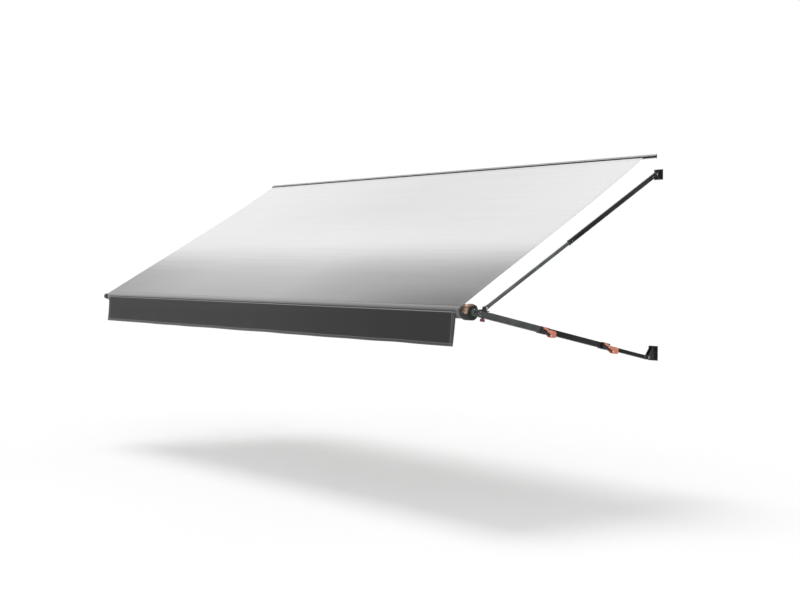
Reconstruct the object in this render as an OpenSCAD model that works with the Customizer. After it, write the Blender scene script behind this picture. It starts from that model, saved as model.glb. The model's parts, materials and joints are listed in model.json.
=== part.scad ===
// Roll out awning for the side wall of a camper, in millimetres.
// X runs along the wall, Y into the wall and Z up. The origin is on the wall, on the back of the rail.
// The awning is modelled open: the canopy is out and the roller hangs at its working height.

/* [Canopy and valance] */
// Width of the canopy along the wall
canopy_w = 5260; // [3000:10:6500]
// Thickness of the canopy cloth
canopy_t = 1.2; // [0.8:0.1:2.5]
// Sag of the canopy between the rail and the roller
canopy_sag = 20; // [0:1:50]
// Diameter of the bead in the wall edge of the canopy
wall_bead_d = 9; // [6:0.5:12]
// Diameter of the bead in the roller edge of the canopy
roller_bead_d = 7; // [5:0.5:9]
// Thickness of the canopy turns that stay on the roller
roll_t = 5; // [1:0.1:8]
// Drop of the valance below the roller axis
valance_drop = 250; // [150:5:400]
// Thickness of the valance cloth
valance_t = 1.4; // [0.8:0.1:2.5]
// Height of the hem at the foot of the valance
hem_h = 24; // [12:1:40]
// Thickness of that hem
hem_t = 3; // [2:0.1:5]
// Diameter of the piping in the seam between canopy and valance
piping_d = 6; // [4:0.5:8]
// Valance short of the canopy at each end
valance_inset = 35; // [0:1:100]
// Place of the valance's top edge around the roller, in degrees up from straight out
valance_angle = 4; // [2:1:30]

/* [Wall rail] */
// Rail past the canopy on the left
rail_over_left = 10; // [5:1:200]
// Rail past the canopy on the right
rail_over_right = 125; // [5:1:200]
// Height of the rail's wall flange
rail_h = 34; // [32:1:50]
// Thickness of the wall flange
rail_base_t = 3; // [2:0.5:5]
// Wall flange below the origin
rail_low = 15; // [12:1:16]
// Web between the flange and the bead channel
rail_web = 1.7; // [1:0.1:5]
// Wall of the bead channel
rail_channel_wall = 3; // [2:0.5:4]
// Mouth of the bead channel
rail_slot = 3.6; // [3:0.1:5]
// Diameter of the rail's screw holes
rail_screw_d = 5.2; // [4:0.2:6.5]
// Spacing of the rail's screw holes
rail_screw_pitch = 400; // [200:10:600]
// Height of the screw holes above the origin
rail_screw_z = 13; // [12.5:0.5:14]

/* [Roller] */
// Outer diameter of the roller tube
tube_d = 86; // [72:1:90]
// Wall of the roller tube
tube_wall = 2; // [1.5:0.1:3]
// Roller tube past the canopy at each end
tube_over = 10; // [5:1:60]
// Mouth of the bead grooves in the tube
groove_slot = 3.2; // [2.5:0.1:4]
// Wall around each bead groove
groove_wall = 2; // [1.5:0.1:2.5]
// Metal left over the bead at the groove's mouth
groove_lip = 1.4; // [1:0.1:2]
// Diameter of the end cap flanges
cap_flange_d = 92; // [80:1:96]
// Thickness of the end cap flanges
cap_flange_t = 8; // [5:0.5:12]
// Diameter of the end cap plugs
cap_plug_d = 48; // [42:1:50]
// Length of the end cap plugs
cap_plug_l = 40; // [30:1:80]
// Diameter of the long hub on the left end cap
cap_hub_d = 38; // [36:1:60]
// Length of the bushes in the end caps
bush_l = 38; // [20:1:45]
// Wall of the bushes
bush_wall = 5; // [3:0.5:6]
// Diameter of the spring arbors
arbor_d = 20; // [16:1:22]
// Reach of the spring arbors into the tube
arbor_l = 340; // [250:5:600]
// Diameter of the collar at an arbor's inner end
arbor_collar_d = 42; // [38:1:48]
// Thickness of that collar
arbor_collar_t = 12; // [8:1:20]
// Mean diameter of the torsion springs
spring_d = 32; // [30:0.5:36]
// Diameter of the spring wire
spring_wire = 4.4; // [3:0.1:5]
// Turns in each torsion spring
spring_turns = 16; // [8:1:24]

/* [Roller lock] */
// Diameter over the ratchet teeth
ratchet_d = 72; // [68:1:74]
// Depth of the ratchet teeth
ratchet_depth = 5; // [3:0.5:6]
// Number of ratchet teeth
ratchet_teeth = 18; // [16:1:20]
// Thickness of the ratchet wheel
ratchet_t = 10; // [6:0.5:12]
// Diameter of the lock housing
housing_d = 116; // [115:1:130]
// Wall of the lock housing
housing_wall = 3.5; // [2:0.5:3.5]
// Thickness of the housing's back plate
housing_back = 6; // [4:0.5:10]
// Overlap of the housing on the roller's end cap
housing_lap = 3; // [1:0.5:6]
// Diameter of the lock lever's pivot pin
lock_pin_d = 8; // [6:0.5:9]
// Diameter of the lock lever's hub
lock_hub_d = 14; // [12:0.5:15]
// Thickness of the lock lever
lock_lever_t = 12; // [8:1:16]
// Width of the lock lever's finger pad
lock_pad_w = 34; // [20:1:40]
// Reach of the lock lever from its pivot
lock_reach = 42; // [36:1:45]
// Swing of the lock lever from free to locked
lock_swing = 12; // [10:0.5:14]
// Width of the pawl's finger
pawl_w = 6; // [4:0.5:6.5]
// Gap between the locked pawl and its tooth
pawl_gap = 0.6; // [0.4:0.1:1]

/* [Main arms] */
// Slope of the open arms above level
arm_angle = 12; // [5:0.25:18]
// Length of the open arms from the leg hinge to the roller axis
arm_l = 2025; // [1900:5:2200]
// Clear room between the roller tube and each arm
arm_gap = 75; // [75:1:140]
// Height of the leg hinges below the origin
low_drop = 1640; // [1500:5:1800]
// Stand-off of the leg hinges from the wall
low_out = 85; // [80:1:120]
// Width of the upper arm channels
upper_w = 40; // [36:1:50]
// Depth of the upper arm channels
upper_d = 48; // [48:1:60]
// Wall of the upper arm channels
upper_wall = 2.5; // [1.5:0.1:3]
// Length of the upper arm channels
upper_l = 700; // [500:5:900]
// Depth of the mid arms
mid_d = 44; // [40:1:46]
// Wall of the mid arms
mid_wall = 2.2; // [1.5:0.1:3]
// Mouth of the slider slot in the mid arms
mid_slot = 17; // [14:0.5:20]
// Wall of the leg tubes
leg_wall = 2.2; // [1.5:0.1:3]
// Length of leg tube inside the mid arm when open
leg_overlap = 155; // [100:5:300]
// Mid arm's lower end above the leg hinge when folded
leg_stow = 115; // [85:1:140]
// Travel of the mid arm along the leg tube
leg_travel = 450; // [300:5:500]
// Travel of the upper arm along the mid arm
lift_travel = 20; // [15:1:90]

/* [Arm ends] */
// Length of the foot from the leg hinge to the leg tube
foot_l = 26; // [22:1:34]
// Length of the foot's plug in the leg tube
foot_plug_l = 45; // [30:1:80]
// Diameter of the foot's eye
foot_eye_d = 36; // [30:1:40]
// Upper arm's end short of the roller axis
head_reach = 31; // [31:1:40]
// Diameter of the arm head around the arbor
head_d = 54; // [50:1:60]
// Length of the arm head's tongue in the channel
tongue_l = 20; // [15:1:50]
// Diameter of the head cover
cover_d = 48; // [40:1:54]
// Thickness of the head cover
cover_t = 6; // [3:0.5:8]

/* [Clamps and knobs] */
// Side wall of the clamps
clamp_wall = 4; // [3:0.5:6]
// Base of the clamps under the arm
clamp_base = 3; // [2:0.5:6]
// Length of clamp on the outer section
clamp_hold = 42; // [30:1:70]
// Length of clamp past the outer section
clamp_nose = 48; // [44:1:70]
// Clamp nose past the lever hinge
clamp_lead = 12; // [9:0.5:16]
// Length of the upper arm clamp lever
arm_lever_l = 88; // [70:1:140]
// Length of the leg clamp lever
leg_lever_l = 115; // [90:1:140]
// Thickness of the lever cheeks
lever_t = 6.6; // [4:0.2:8]
// Diameter of the lever eyes
lever_eye_d = 22; // [16:1:24]
// Length of the levers' thumb tabs past the hinge
thumb_l = 62; // [40:1:75]
// Diameter of the lever pins
lever_pin_d = 8; // [6:0.5:9]
// Drop of the lever grip below the arm
grip_drop = 13; // [11:0.5:20]
// Length of the lever grip
grip_l = 28; // [20:1:34]
// Thickness of the lever grip
grip_t = 8; // [6:0.5:9]
// Place of the lock knob from the mid arm's end
knob_in = 14; // [10:1:60]
// Diameter of the lock knob
knob_d = 36; // [28:1:38]
// Height of the lock knob
knob_h = 20; // [12:1:30]
// Diameter of the knob's screw
knob_screw_d = 8; // [6:0.5:10]
// Diameter of the threaded boss under the arm
knob_boss_d = 18; // [14:1:24]
// Height of that boss
knob_boss_h = 6; // [4:0.5:10]

/* [Rafters] */
// Height of the rafter hinges below the origin
up_drop = 150; // [140:5:220]
// Rise of the rafter pivot above the arm's centre line
rafter_rise = 44; // [43:0.5:48]
// Rafter pivot ahead of the slider's middle
pivot_ahead = 38; // [0:1:40]
// Width of the rafter's outer tube
rafter_w = 20; // [18:1:30]
// Depth of the rafter's outer tube
rafter_d = 36; // [34:1:46]
// Wall of the rafter's outer tube
rafter_wall = 2; // [1.5:0.1:3]
// Share of the rafter that its outer tube takes
rafter_share = 0.53; // [0.5:0.01:0.54]
// Depth of the rafter's inner tube
rafter_inner_d = 27; // [20:1:28]
// Wall of the rafter's inner tube
rafter_inner_wall = 1.8; // [1.2:0.1:2.5]
// Length of inner tube inside the rafter's outer tube when open
rafter_lap = 146; // [100:1:250]
// Length of the rafter's wall eye up to the tube
rafter_eye_l = 24; // [22:1:34]
// Diameter of the rafter's wall eye
rafter_eye_d = 30; // [26:1:36]
// Length of the plugs in the rafter tubes
rafter_plug_l = 40; // [30:1:60]
// Length of the rafter's tip up to the inner tube
tip_l = 28; // [26:1:40]
// Diameter of the rafter's tip eye
tip_eye_d = 28; // [24:1:30]
// Diameter of the tip bolt
tip_bolt_d = 10; // [8:0.5:12]
// Height of the tip bolt's head
tip_head_h = 6; // [4:0.5:8]
// Collar past the mouth of the outer tube
collar_lip = 14; // [8:1:20]
// Collar proud of the outer tube, above and below
collar_proud = 2; // [1:0.5:4]
// Length of the sliders in the mid arms
shoe_l = 50; // [44:1:90]
// Thickness of the sliders' feet
shoe_t = 5.8; // [4:0.2:7]
// Thickness of the sliders' top plates
shoe_plate_t = 6; // [4:0.5:8]

/* [Wall brackets] */
// Thickness of the bracket plates
plate_t = 6; // [4:0.5:8]
// Width of the lower bracket plates
low_plate_w = 90; // [86:1:110]
// Height of the lower bracket plates
low_plate_h = 120; // [110:1:150]
// Lower bracket plates above their hinge
low_lift = 30; // [0:1:34]
// Spacing of the lower bracket holes along the wall
low_hole_x = 66; // [62:1:70]
// Spacing of the lower bracket holes up the wall
low_hole_z = 84; // [70:1:90]
// Width of the upper bracket plates
up_plate_w = 84; // [80:1:100]
// Height of the upper bracket plates
up_plate_h = 84; // [80:1:120]
// Spacing of the upper bracket holes along the wall
up_hole_x = 60; // [58:1:64]
// Spacing of the upper bracket holes up the wall
up_hole_z = 56; // [40:1:60]
// Diameter of the bracket holes
plate_hole_d = 8.5; // [6:0.5:10]
// Plate past the root of the bracket ears, above and below
ear_margin = 8; // [4:1:14]
// Reach of the bracket ears at their top, as a share of the hinge's
ear_top = 0.35; // [0:0.05:0.4]
// Thickness of the bracket ears
ear_t = 5; // [4:0.5:6]
// Diameter of the hinge pins
hinge_pin_d = 12; // [8:0.5:14]
// Diameter of the hinge pin heads
pin_head_d = 20; // [16:1:22]
// Height of the hinge pin heads
pin_head_h = 3; // [2:0.5:3.5]

/* [Clearances] */
// Radial gap of a pin or shaft in its bore
run_gap = 0.05; // [0.02:0.01:0.1]
// Gap between cloth and what it lies on
cloth_gap = 0.3; // [0.2:0.1:0.6]
// Radial gap of a bead in its channel
bead_gap = 0.6; // [0.4:0.1:0.9]
// Side gap between sliding sections
slide_gap = 0.5; // [0.3:0.1:0.8]
// Gap under a sliding section
seat_gap = 0.4; // [0.3:0.1:0.8]
// Gap above the leg tube under the slider
shoe_gap = 1.8; // [1:0.1:3]
// Side gap between an eye and its ears
ear_gap = 0.4; // [0.3:0.1:0.8]
// Side gap between the levers and the rafter
rafter_gap = 1.6; // [1:0.1:4]
// Side gap at the open pivot between slider and rafter tip
pivot_gap = 0.4; // [0.3:0.1:0.8]
// Gap left before a sliding section's end stop
stop_gap = 4; // [2:0.5:10]

/* [Hidden] */
$fn = 48;

// Colours
pale_cloth = "#e2e2e2";
dark_cloth = "#484848";
black = "#232325";
bare_metal = "#a9acae";
arm_grey = "#6d6f72";
dark_grey = "#3b3c3f";
orange = "#d5602a";
red = "#8c3a38";
brass = "#a88a4a";

// Stations along the wall, for the right end
canopy_x = canopy_w / 2;
tube_x = canopy_x + tube_over;
cap_x = tube_x + cap_flange_t;
arm_x = tube_x + arm_gap + upper_w / 2;

// Arm sections: n runs up from the arm's centre line, c along the arm from the leg hinge
mid_w = upper_w - 2 * (upper_wall + slide_gap);
mid_n0 = -upper_d / 2 + upper_wall + seat_gap;
mid_n1 = mid_n0 + mid_d;
shoe_n1 = mid_n1 - mid_wall - seat_gap;
shoe_n0 = shoe_n1 - shoe_t;
leg_w = mid_w - 2 * (mid_wall + 2 * seat_gap);
leg_n0 = mid_n0 + mid_wall + seat_gap;
leg_n1 = shoe_n0 - shoe_gap;
leg_d = leg_n1 - leg_n0;
leg_n = (leg_n0 + leg_n1) / 2;
upper_c1 = arm_l - head_reach;
upper_c0 = upper_c1 - upper_l;
tongue_c = upper_c1 - tongue_l;
mid_c1 = tongue_c - stop_gap - lift_travel;
mid_c0 = leg_stow + leg_travel;
leg_c1 = mid_c0 + leg_overlap;
shoe_c = mid_c1 - shoe_l / 2 - seat_gap;
knob_c = mid_c1 - knob_in;

// Side stations from an arm's centre plane
clamp_side = upper_w / 2 + clamp_wall;
lever_in = clamp_side + pivot_gap;
lever_out = lever_in + lever_t;
shoe_out = lever_out + rafter_gap;
rafter_x = arm_x + shoe_out + pivot_gap + rafter_w / 2;

// Roller axis and the slope of the canopy
roller_y = -low_out - arm_l * cos(arm_angle);
roller_z = -low_drop + arm_l * sin(arm_angle);
rail_bore_d = wall_bead_d + 2 * bead_gap;
rail_out = rail_base_t + rail_web + rail_channel_wall + rail_bore_d / 2;
rail_bead_z = -2;
bead_at = [-rail_out, rail_bead_z];
roller_at = [roller_y, roller_z];
roll_r = tube_d / 2 + cloth_gap + roll_t;
wrap_r = roll_r + cloth_gap + canopy_t / 2;
piping_r = roll_r + cloth_gap + piping_d / 2;
piping_half = asin((piping_d / 2 + cloth_gap) / piping_r);
piping_angle = valance_angle + piping_half;
seam_angle = piping_angle + piping_half;
valance_x = canopy_x - valance_inset;
reach = norm(roller_at - bead_at);
sheet_angle = atan2(bead_at[1] - roller_at[1], bead_at[0] - roller_at[0]) - asin(wrap_r / reach);
sheet_l = sqrt(reach * reach - wrap_r * wrap_r);
sheet_dir = [-cos(sheet_angle), -sin(sheet_angle)];
sheet_up = [-sin(sheet_angle), cos(sheet_angle)];

// Rafter, from its wall hinge to its pivot on the slider
up_out = low_out - rafter_rise;
pivot_c = shoe_c + pivot_ahead;
pivot_y = -low_out - pivot_c * cos(arm_angle) + rafter_rise * sin(arm_angle);
pivot_z = -low_drop + pivot_c * sin(arm_angle) + rafter_rise * cos(arm_angle);
rafter_l = norm([pivot_y + up_out, pivot_z + up_drop]);
rafter_angle = atan2(-up_drop - pivot_z, -up_out - pivot_y);
rafter_c1 = rafter_eye_l + rafter_share * rafter_l;
inner_w = rafter_w - 2 * rafter_wall - 4 * seat_gap;
inner_c1 = rafter_l - tip_l;
inner_c0 = rafter_c1 - rafter_lap;

// Roller lock, with places given as [n, c] from the roller axis
lock_pivot = [45, -12];
lock_elbow_n = 41.5;
tooth_step = 360 / ratchet_teeth;
tooth_root = (ratchet_d / 2 - ratchet_depth) * [cos(1.25 * tooth_step), sin(1.25 * tooth_step)];
pawl_at = tooth_root + [pawl_gap, pawl_gap];
pawl_to = [lock_elbow_n, pawl_at[1] + pawl_w];
lock_tip = lock_pivot + lock_reach * [0.2, -0.98];
housing_x0 = -upper_w / 2 - arm_gap + cap_flange_t - housing_lap;
housing_x1 = -upper_w / 2;
wheel_x0 = housing_x0 + housing_lap;
wheel_x1 = wheel_x0 + ratchet_t;

// Beads, bushes and springs
groove_d = roller_bead_d + 2 * bead_gap;
groove_r = tube_d / 2 - groove_lip - groove_d / 2;
groove_angles = [70, 190, 310];
bush_d = arbor_d + 2 * (run_gap + bush_wall);
spring_x0 = tube_x - arbor_l + arbor_collar_t + spring_wire / 2 + cloth_gap;
spring_x1 = tube_x - cap_plug_l - spring_wire / 2 - cloth_gap;
spring_rings = 8;
spring_sides = 6;
sheet_steps = 24;
wrap_steps = 6;

// Least gap between neighbouring turns of a spring, measured on its centre points
spring_points = [for (i = [0 : spring_turns * spring_rings]) spring_centre(i)];
spring_least_gap = min([
  for (i = [0 : len(spring_points) - 1 - spring_rings])
    norm(spring_points[i + spring_rings] - spring_points[i]) - spring_wire
]);
echo(spring_least_gap = spring_least_gap);

function spring_turn(i) = 360 * i / spring_rings;

function spring_centre(i) = [
  spring_x0 + (spring_x1 - spring_x0) * i / (spring_turns * spring_rings),
  spring_d / 2 * cos(spring_turn(i)),
  spring_d / 2 * sin(spring_turn(i))
];

function spring_ring(i) = [
  for (j = [0 : spring_sides - 1])
    let (a = 360 * j / spring_sides, radial = [0, cos(spring_turn(i)), sin(spring_turn(i))])
      spring_centre(i) + spring_wire / 2 * (cos(a) * radial + sin(a) * [1, 0, 0])
];

function on_roller(r, a) = roller_at + r * [-cos(a), sin(a)];

function sheet_point(t, lift) =
  bead_at + (wall_bead_d / 2 + cloth_gap + t * (sheet_l - wall_bead_d / 2 - cloth_gap)) * sheet_dir
  + (lift - 4 * canopy_sag * t * (1 - t)) * sheet_up;

// The canopy's face at a height lift above its mid plane, from the rail to the seam
function canopy_face(lift) = concat(
  [for (i = [0 : sheet_steps]) sheet_point(i / sheet_steps, lift)],
  [for (i = [1 : wrap_steps])
    on_roller(wrap_r + lift, 90 - sheet_angle + (seam_angle - 90 + sheet_angle) * i / wrap_steps)]
);

function reversed(list) = [for (i = [len(list) - 1 : -1 : 0]) list[i]];

// A point of the locked pawl, swung back to where the pawl is free
function freed(p) =
  let (d = p - lock_pivot, c = cos(lock_swing), s = sin(lock_swing))
    lock_pivot + [d[0] * c + d[1] * s, d[1] * c - d[0] * s];

// Placing
module on_side(side) {
  if (side < 0) mirror([1, 0, 0]) children();
  else children();
}

module on_arm() {
  translate([arm_x, -low_out, -low_drop]) rotate([90 - arm_angle, 0, 0]) children();
}

module on_rafter() {
  translate([rafter_x, -up_out, -up_drop]) rotate([rafter_angle - 90, 0, 0]) children();
}

module at_roller() {
  translate([0, roller_y, roller_z]) children();
}

// A flat shape drawn in [y, z], run along x
module along_x(x0, x1) {
  translate([x0, 0, 0]) rotate([90, 0, 90]) linear_extrude(x1 - x0) children();
}

module along_c(c0, c1) {
  translate([0, 0, c0]) linear_extrude(c1 - c0) children();
}

module along_rafter(c0, c1) {
  translate([0, 0, -c1]) linear_extrude(c1 - c0) children();
}

module rod(d, x0, x1) {
  translate([x0, 0, 0]) rotate([0, 90, 0]) cylinder(d = d, h = x1 - x0);
}

module round_rect(w, h, r) {
  square([w - 2 * r, h], center = true);
  square([w, h - 2 * r], center = true);
  for (x = [-1, 1], y = [-1, 1]) translate([x * (w / 2 - r), y * (h / 2 - r)]) circle(r);
}

module box_tube(w, h, wall) {
  difference() {
    round_rect(w, h, 2 * wall);
    square([w - 2 * wall, h - 2 * wall], center = true);
  }
}

// A bar with round ends between two points of a flat shape
module bar(from, to, r0, r1) {
  along = (to - from) / norm(to - from);
  across = [-along[1], along[0]];
  translate(from) circle(r0);
  translate(to) circle(r1);
  polygon([from + r0 * across, from - r0 * across, to - r1 * across, to + r1 * across]);
}

// Wall rail and canopy
module wall_rail() {
  tube_r = rail_bore_d / 2 + rail_channel_wall;
  screws = floor((canopy_x - rail_screw_pitch / 4) / rail_screw_pitch);
  color(dark_grey) difference() {
    along_x(-canopy_x - rail_over_left, canopy_x + rail_over_right) difference() {
      union() {
        translate([-rail_base_t, -rail_low]) square([rail_base_t, rail_h]);
        translate(bead_at) circle(tube_r);
        translate([-rail_out, rail_bead_z - tube_r / 2]) square([rail_out - rail_base_t, tube_r]);
      }
      translate(bead_at) circle(d = rail_bore_d);
      translate(bead_at) rotate(180 + sheet_angle)
        translate([0, -rail_slot / 2]) square([2 * tube_r, rail_slot]);
    }
    for (i = [-screws : screws])
      translate([i * rail_screw_pitch, 0, rail_screw_z]) rotate([90, 0, 0])
        cylinder(d = rail_screw_d, h = 4 * rail_base_t, center = true);
  }
}

module canopy_wall_bead() {
  color(dark_cloth) translate([0, bead_at[0], bead_at[1]]) rod(wall_bead_d, -canopy_x, canopy_x);
}

module canopy() {
  color(pale_cloth) along_x(-canopy_x, canopy_x)
    polygon(concat(canopy_face(canopy_t / 2), reversed(canopy_face(-canopy_t / 2))));
}

// Roller
module roller_tube() {
  color(bare_metal) at_roller() along_x(-tube_x, tube_x) difference() {
    union() {
      difference() {
        circle(d = tube_d);
        circle(d = tube_d - 2 * tube_wall);
      }
      intersection() {
        circle(d = tube_d);
        for (a = groove_angles) rotate(180 - a) translate([groove_r, 0]) circle(groove_d / 2 + groove_wall);
      }
    }
    for (a = groove_angles) rotate(180 - a) {
      translate([groove_r, 0]) circle(d = groove_d);
      translate([groove_r, -groove_slot / 2]) square([tube_d, groove_slot]);
    }
  }
}

module rolled_fabric() {
  color(pale_cloth) at_roller() along_x(-canopy_x, canopy_x) difference() {
    circle(roll_r);
    circle(tube_d / 2 + cloth_gap);
  }
}

module canopy_roller_bead() {
  color(dark_cloth) at_roller() rotate([180 - groove_angles[0], 0, 0]) translate([0, groove_r, 0])
    rod(roller_bead_d, -canopy_x, canopy_x);
}

// The valance hangs over the front of the roller and ends in a hem
module valance() {
  hang_r = roll_r + cloth_gap + valance_t / 2;
  arc = [for (i = [0 : wrap_steps]) valance_angle * (1 - i / wrap_steps)];
  outer = [for (a = arc) (hang_r + valance_t / 2) * [-cos(a), sin(a)]];
  inner = [for (a = arc) (hang_r - valance_t / 2) * [-cos(a), sin(a)]];
  color(dark_cloth) at_roller() along_x(-valance_x, valance_x) {
    polygon(concat(
      outer,
      [[-hang_r - valance_t / 2, -valance_drop], [-hang_r + valance_t / 2, -valance_drop]],
      reversed(inner)
    ));
    translate([-hang_r - hem_t / 2, -valance_drop]) square([hem_t, hem_h]);
  }
}

module valance_piping() {
  color(black) at_roller() rotate([180 - piping_angle, 0, 0]) translate([0, piping_r, 0])
    rod(piping_d, -valance_x, valance_x);
}

module roller_end_cap(side, hub_x) {
  color(black) on_side(side) at_roller() difference() {
    union() {
      rod(cap_flange_d, tube_x, cap_x);
      rod(cap_plug_d, tube_x - cap_plug_l, tube_x);
      if (hub_x > cap_x) rod(cap_hub_d, tube_x, hub_x);
    }
    rod(bush_d + 2 * run_gap, tube_x - 2 * cap_plug_l, arm_x);
  }
}

module roller_bushes() {
  color(brass) for (side = [-1, 1]) on_side(side) at_roller() difference() {
    rod(bush_d, cap_x - bush_l, cap_x);
    rod(arbor_d + 2 * run_gap, cap_x - 2 * bush_l, cap_x + bush_l);
  }
}

// The arbor is fixed in the arm head; the spring winds between its collar and the end cap
module spring_arbor(side) {
  color(bare_metal) on_side(side) at_roller() {
    rod(arbor_d, tube_x - arbor_l, arm_x + upper_w / 2);
    rod(arbor_collar_d, tube_x - arbor_l, tube_x - arbor_l + arbor_collar_t);
  }
}

module torsion_spring(side) {
  n = spring_turns * spring_rings;
  s = spring_sides;
  points = [for (i = [0 : n]) each spring_ring(i)];
  walls = [
    for (i = [0 : n - 1], j = [0 : s - 1])
      let (a = i * s + j, b = i * s + (j + 1) % s)
        each [[a, b, b + s], [a, b + s, a + s]]
  ];
  ends = [for (j = [1 : s - 2]) each [[0, j + 1, j], [n * s, n * s + j, n * s + j + 1]]];
  color(bare_metal) on_side(side) at_roller() polyhedron(points, concat(walls, ends));
}

// Roller lock, on the right arm
module ratchet_wheel() {
  tip = ratchet_d / 2;
  teeth = [
    for (i = [0 : ratchet_teeth - 1])
      let (a = i * tooth_step, b = (i + 0.25) * tooth_step)
        each [tip * [cos(a), sin(a)], (tip - ratchet_depth) * [cos(b), sin(b)]]
  ];
  color(bare_metal) on_arm() translate([0, 0, arm_l]) along_x(wheel_x0, wheel_x1) difference() {
    polygon(teeth);
    circle(d = bush_d);
  }
}

module lock_housing() {
  window = lock_lever_t + lock_pad_w;
  window_c1 = lock_pivot[1] + lock_hub_d / 2;
  color(black) on_arm() translate([0, 0, arm_l]) {
    difference() {
      rod(housing_d, housing_x0, housing_x1);
      rod(housing_d - 2 * housing_wall, housing_x0 - housing_back, housing_x1 - housing_back);
      rod(arbor_d + 2 * run_gap, housing_x0, housing_x1 + housing_back);
      translate([wheel_x1 - 1, lock_pivot[0] - lock_hub_d, -housing_d])
        cube([window, housing_d, housing_d + window_c1]);
    }
    translate([0, lock_pivot[0], lock_pivot[1]]) rod(lock_pin_d, wheel_x0, housing_x1);
  }
}

// The pawl: a bar over the ratchet wheel with a finger that drops into a tooth gap
module pawl() {
  elbow = [lock_elbow_n, pawl_at[1] + pawl_w / 2];
  corners = [pawl_at, [pawl_to[0], pawl_at[1]], pawl_to, [pawl_at[0], pawl_to[1]]];
  bar(lock_pivot, freed(elbow), lock_hub_d / 2, 0.4 * pawl_w);
  polygon([for (corner = corners) freed(corner)]);
}

// One crank, drawn free: the pawl inside the housing and a finger pad outside it
module ratchet_lever() {
  pad_x = wheel_x1 + lock_pad_w;
  color(orange) on_arm() translate([0, 0, arm_l]) difference() {
    union() {
      along_x(wheel_x0 + 1, wheel_x1) pawl();
      along_x(wheel_x1, wheel_x1 + lock_lever_t) bar(lock_pivot, lock_tip, lock_hub_d / 2, lock_hub_d / 3);
      translate([0, lock_tip[0], lock_tip[1]]) rod(2 * lock_hub_d / 3, wheel_x1, pad_x);
    }
    translate([0, lock_pivot[0], lock_pivot[1]])
      rod(lock_pin_d + 2 * run_gap, wheel_x0 - 1, pad_x + 1);
  }
}

// Wall brackets, with their back on the wall: a plate and two ears that taper to a hinge
module bracket(w, h, lift, hole_x, hole_z, out, ear_in, eye_d) {
  root = h / 2 - ear_margin;
  difference() {
    union() {
      translate([-w / 2, -plate_t, lift - h / 2]) cube([w, plate_t, h]);
      for (s = [-1, 1]) on_side(s) along_x(ear_in, ear_in + ear_t) {
        translate([-out, 0]) circle(d = eye_d);
        polygon([
          [-out, eye_d / 2], [-out, -eye_d / 2],
          [0, lift - root], [0, lift + root], [-ear_top * out, lift + root]
        ]);
      }
    }
    translate([0, -out, 0]) rod(hinge_pin_d + 2 * run_gap, -w, w);
    for (x = [-1, 1], z = [-1, 1])
      translate([x * hole_x / 2, 0, lift + z * hole_z / 2]) rotate([90, 0, 0])
        cylinder(d = plate_hole_d, h = 4 * plate_t, center = true);
  }
}

module upper_bracket(side) {
  color(black) on_side(side) translate([rafter_x, 0, -up_drop])
    bracket(up_plate_w, up_plate_h, 0, up_hole_x, up_hole_z, up_out, rafter_w / 2 + ear_gap, rafter_eye_d);
}

module lower_bracket(side) {
  color(black) on_side(side) translate([arm_x, 0, -low_drop])
    bracket(
      low_plate_w, low_plate_h, low_lift, low_hole_x, low_hole_z,
      low_out, leg_w / 2 + ear_gap, foot_eye_d
    );
}

module hinge_pin(ear_in) {
  face = ear_in + ear_t;
  rod(hinge_pin_d, -face, face);
  rod(pin_head_d, -face - pin_head_h, -face);
  rod(pin_head_d, face, face + pin_head_h);
}

module rafter_hinge_pins() {
  color(bare_metal) for (side = [-1, 1]) on_side(side) translate([rafter_x, -up_out, -up_drop])
    hinge_pin(rafter_w / 2 + ear_gap);
}

module leg_hinge_pins() {
  color(bare_metal) for (side = [-1, 1]) on_side(side) translate([arm_x, -low_out, -low_drop])
    hinge_pin(leg_w / 2 + ear_gap);
}

// Main arms
module leg_tube(side) {
  color(black) on_side(side) on_arm() along_c(foot_l, leg_c1)
    translate([0, leg_n]) box_tube(leg_w, leg_d, leg_wall);
}

module leg_foot(side) {
  plug = [leg_w - 2 * leg_wall - seat_gap, leg_d - 2 * leg_wall - seat_gap];
  color(dark_grey) on_side(side) on_arm() difference() {
    union() {
      rod(foot_eye_d, -leg_w / 2, leg_w / 2);
      along_c(0, foot_l) translate([0, leg_n]) square([leg_w, leg_d], center = true);
      along_c(foot_l, foot_l + foot_plug_l) translate([0, leg_n]) square(plug, center = true);
    }
    rod(hinge_pin_d + 2 * run_gap, -leg_w, leg_w);
  }
}

module mid_arm(side) {
  mid_n = (mid_n0 + mid_n1) / 2;
  color(arm_grey) on_side(side) on_arm() along_c(mid_c0, mid_c1) difference() {
    translate([0, mid_n]) round_rect(mid_w, mid_d, mid_wall);
    translate([0, mid_n]) square([mid_w - 2 * mid_wall, mid_d - 2 * mid_wall], center = true);
    translate([-mid_slot / 2, mid_n]) square([mid_slot, mid_d]);
  }
}

module upper_arm(side) {
  inner = upper_w - 2 * upper_wall;
  base = -upper_d / 2;
  color(arm_grey) on_side(side) on_arm() difference() {
    union() {
      along_c(upper_c0, upper_c1) difference() {
        round_rect(upper_w, upper_d, upper_wall);
        translate([-inner / 2, base + upper_wall]) square([inner, upper_d]);
      }
      translate([0, base, knob_c]) rotate([90, 0, 0]) cylinder(d = knob_boss_d, h = knob_boss_h);
    }
    translate([0, base + 2 * upper_wall, knob_c]) rotate([90, 0, 0])
      cylinder(d = knob_screw_d + 2 * run_gap, h = 2 * upper_wall + 2 * knob_boss_h);
  }
}

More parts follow.
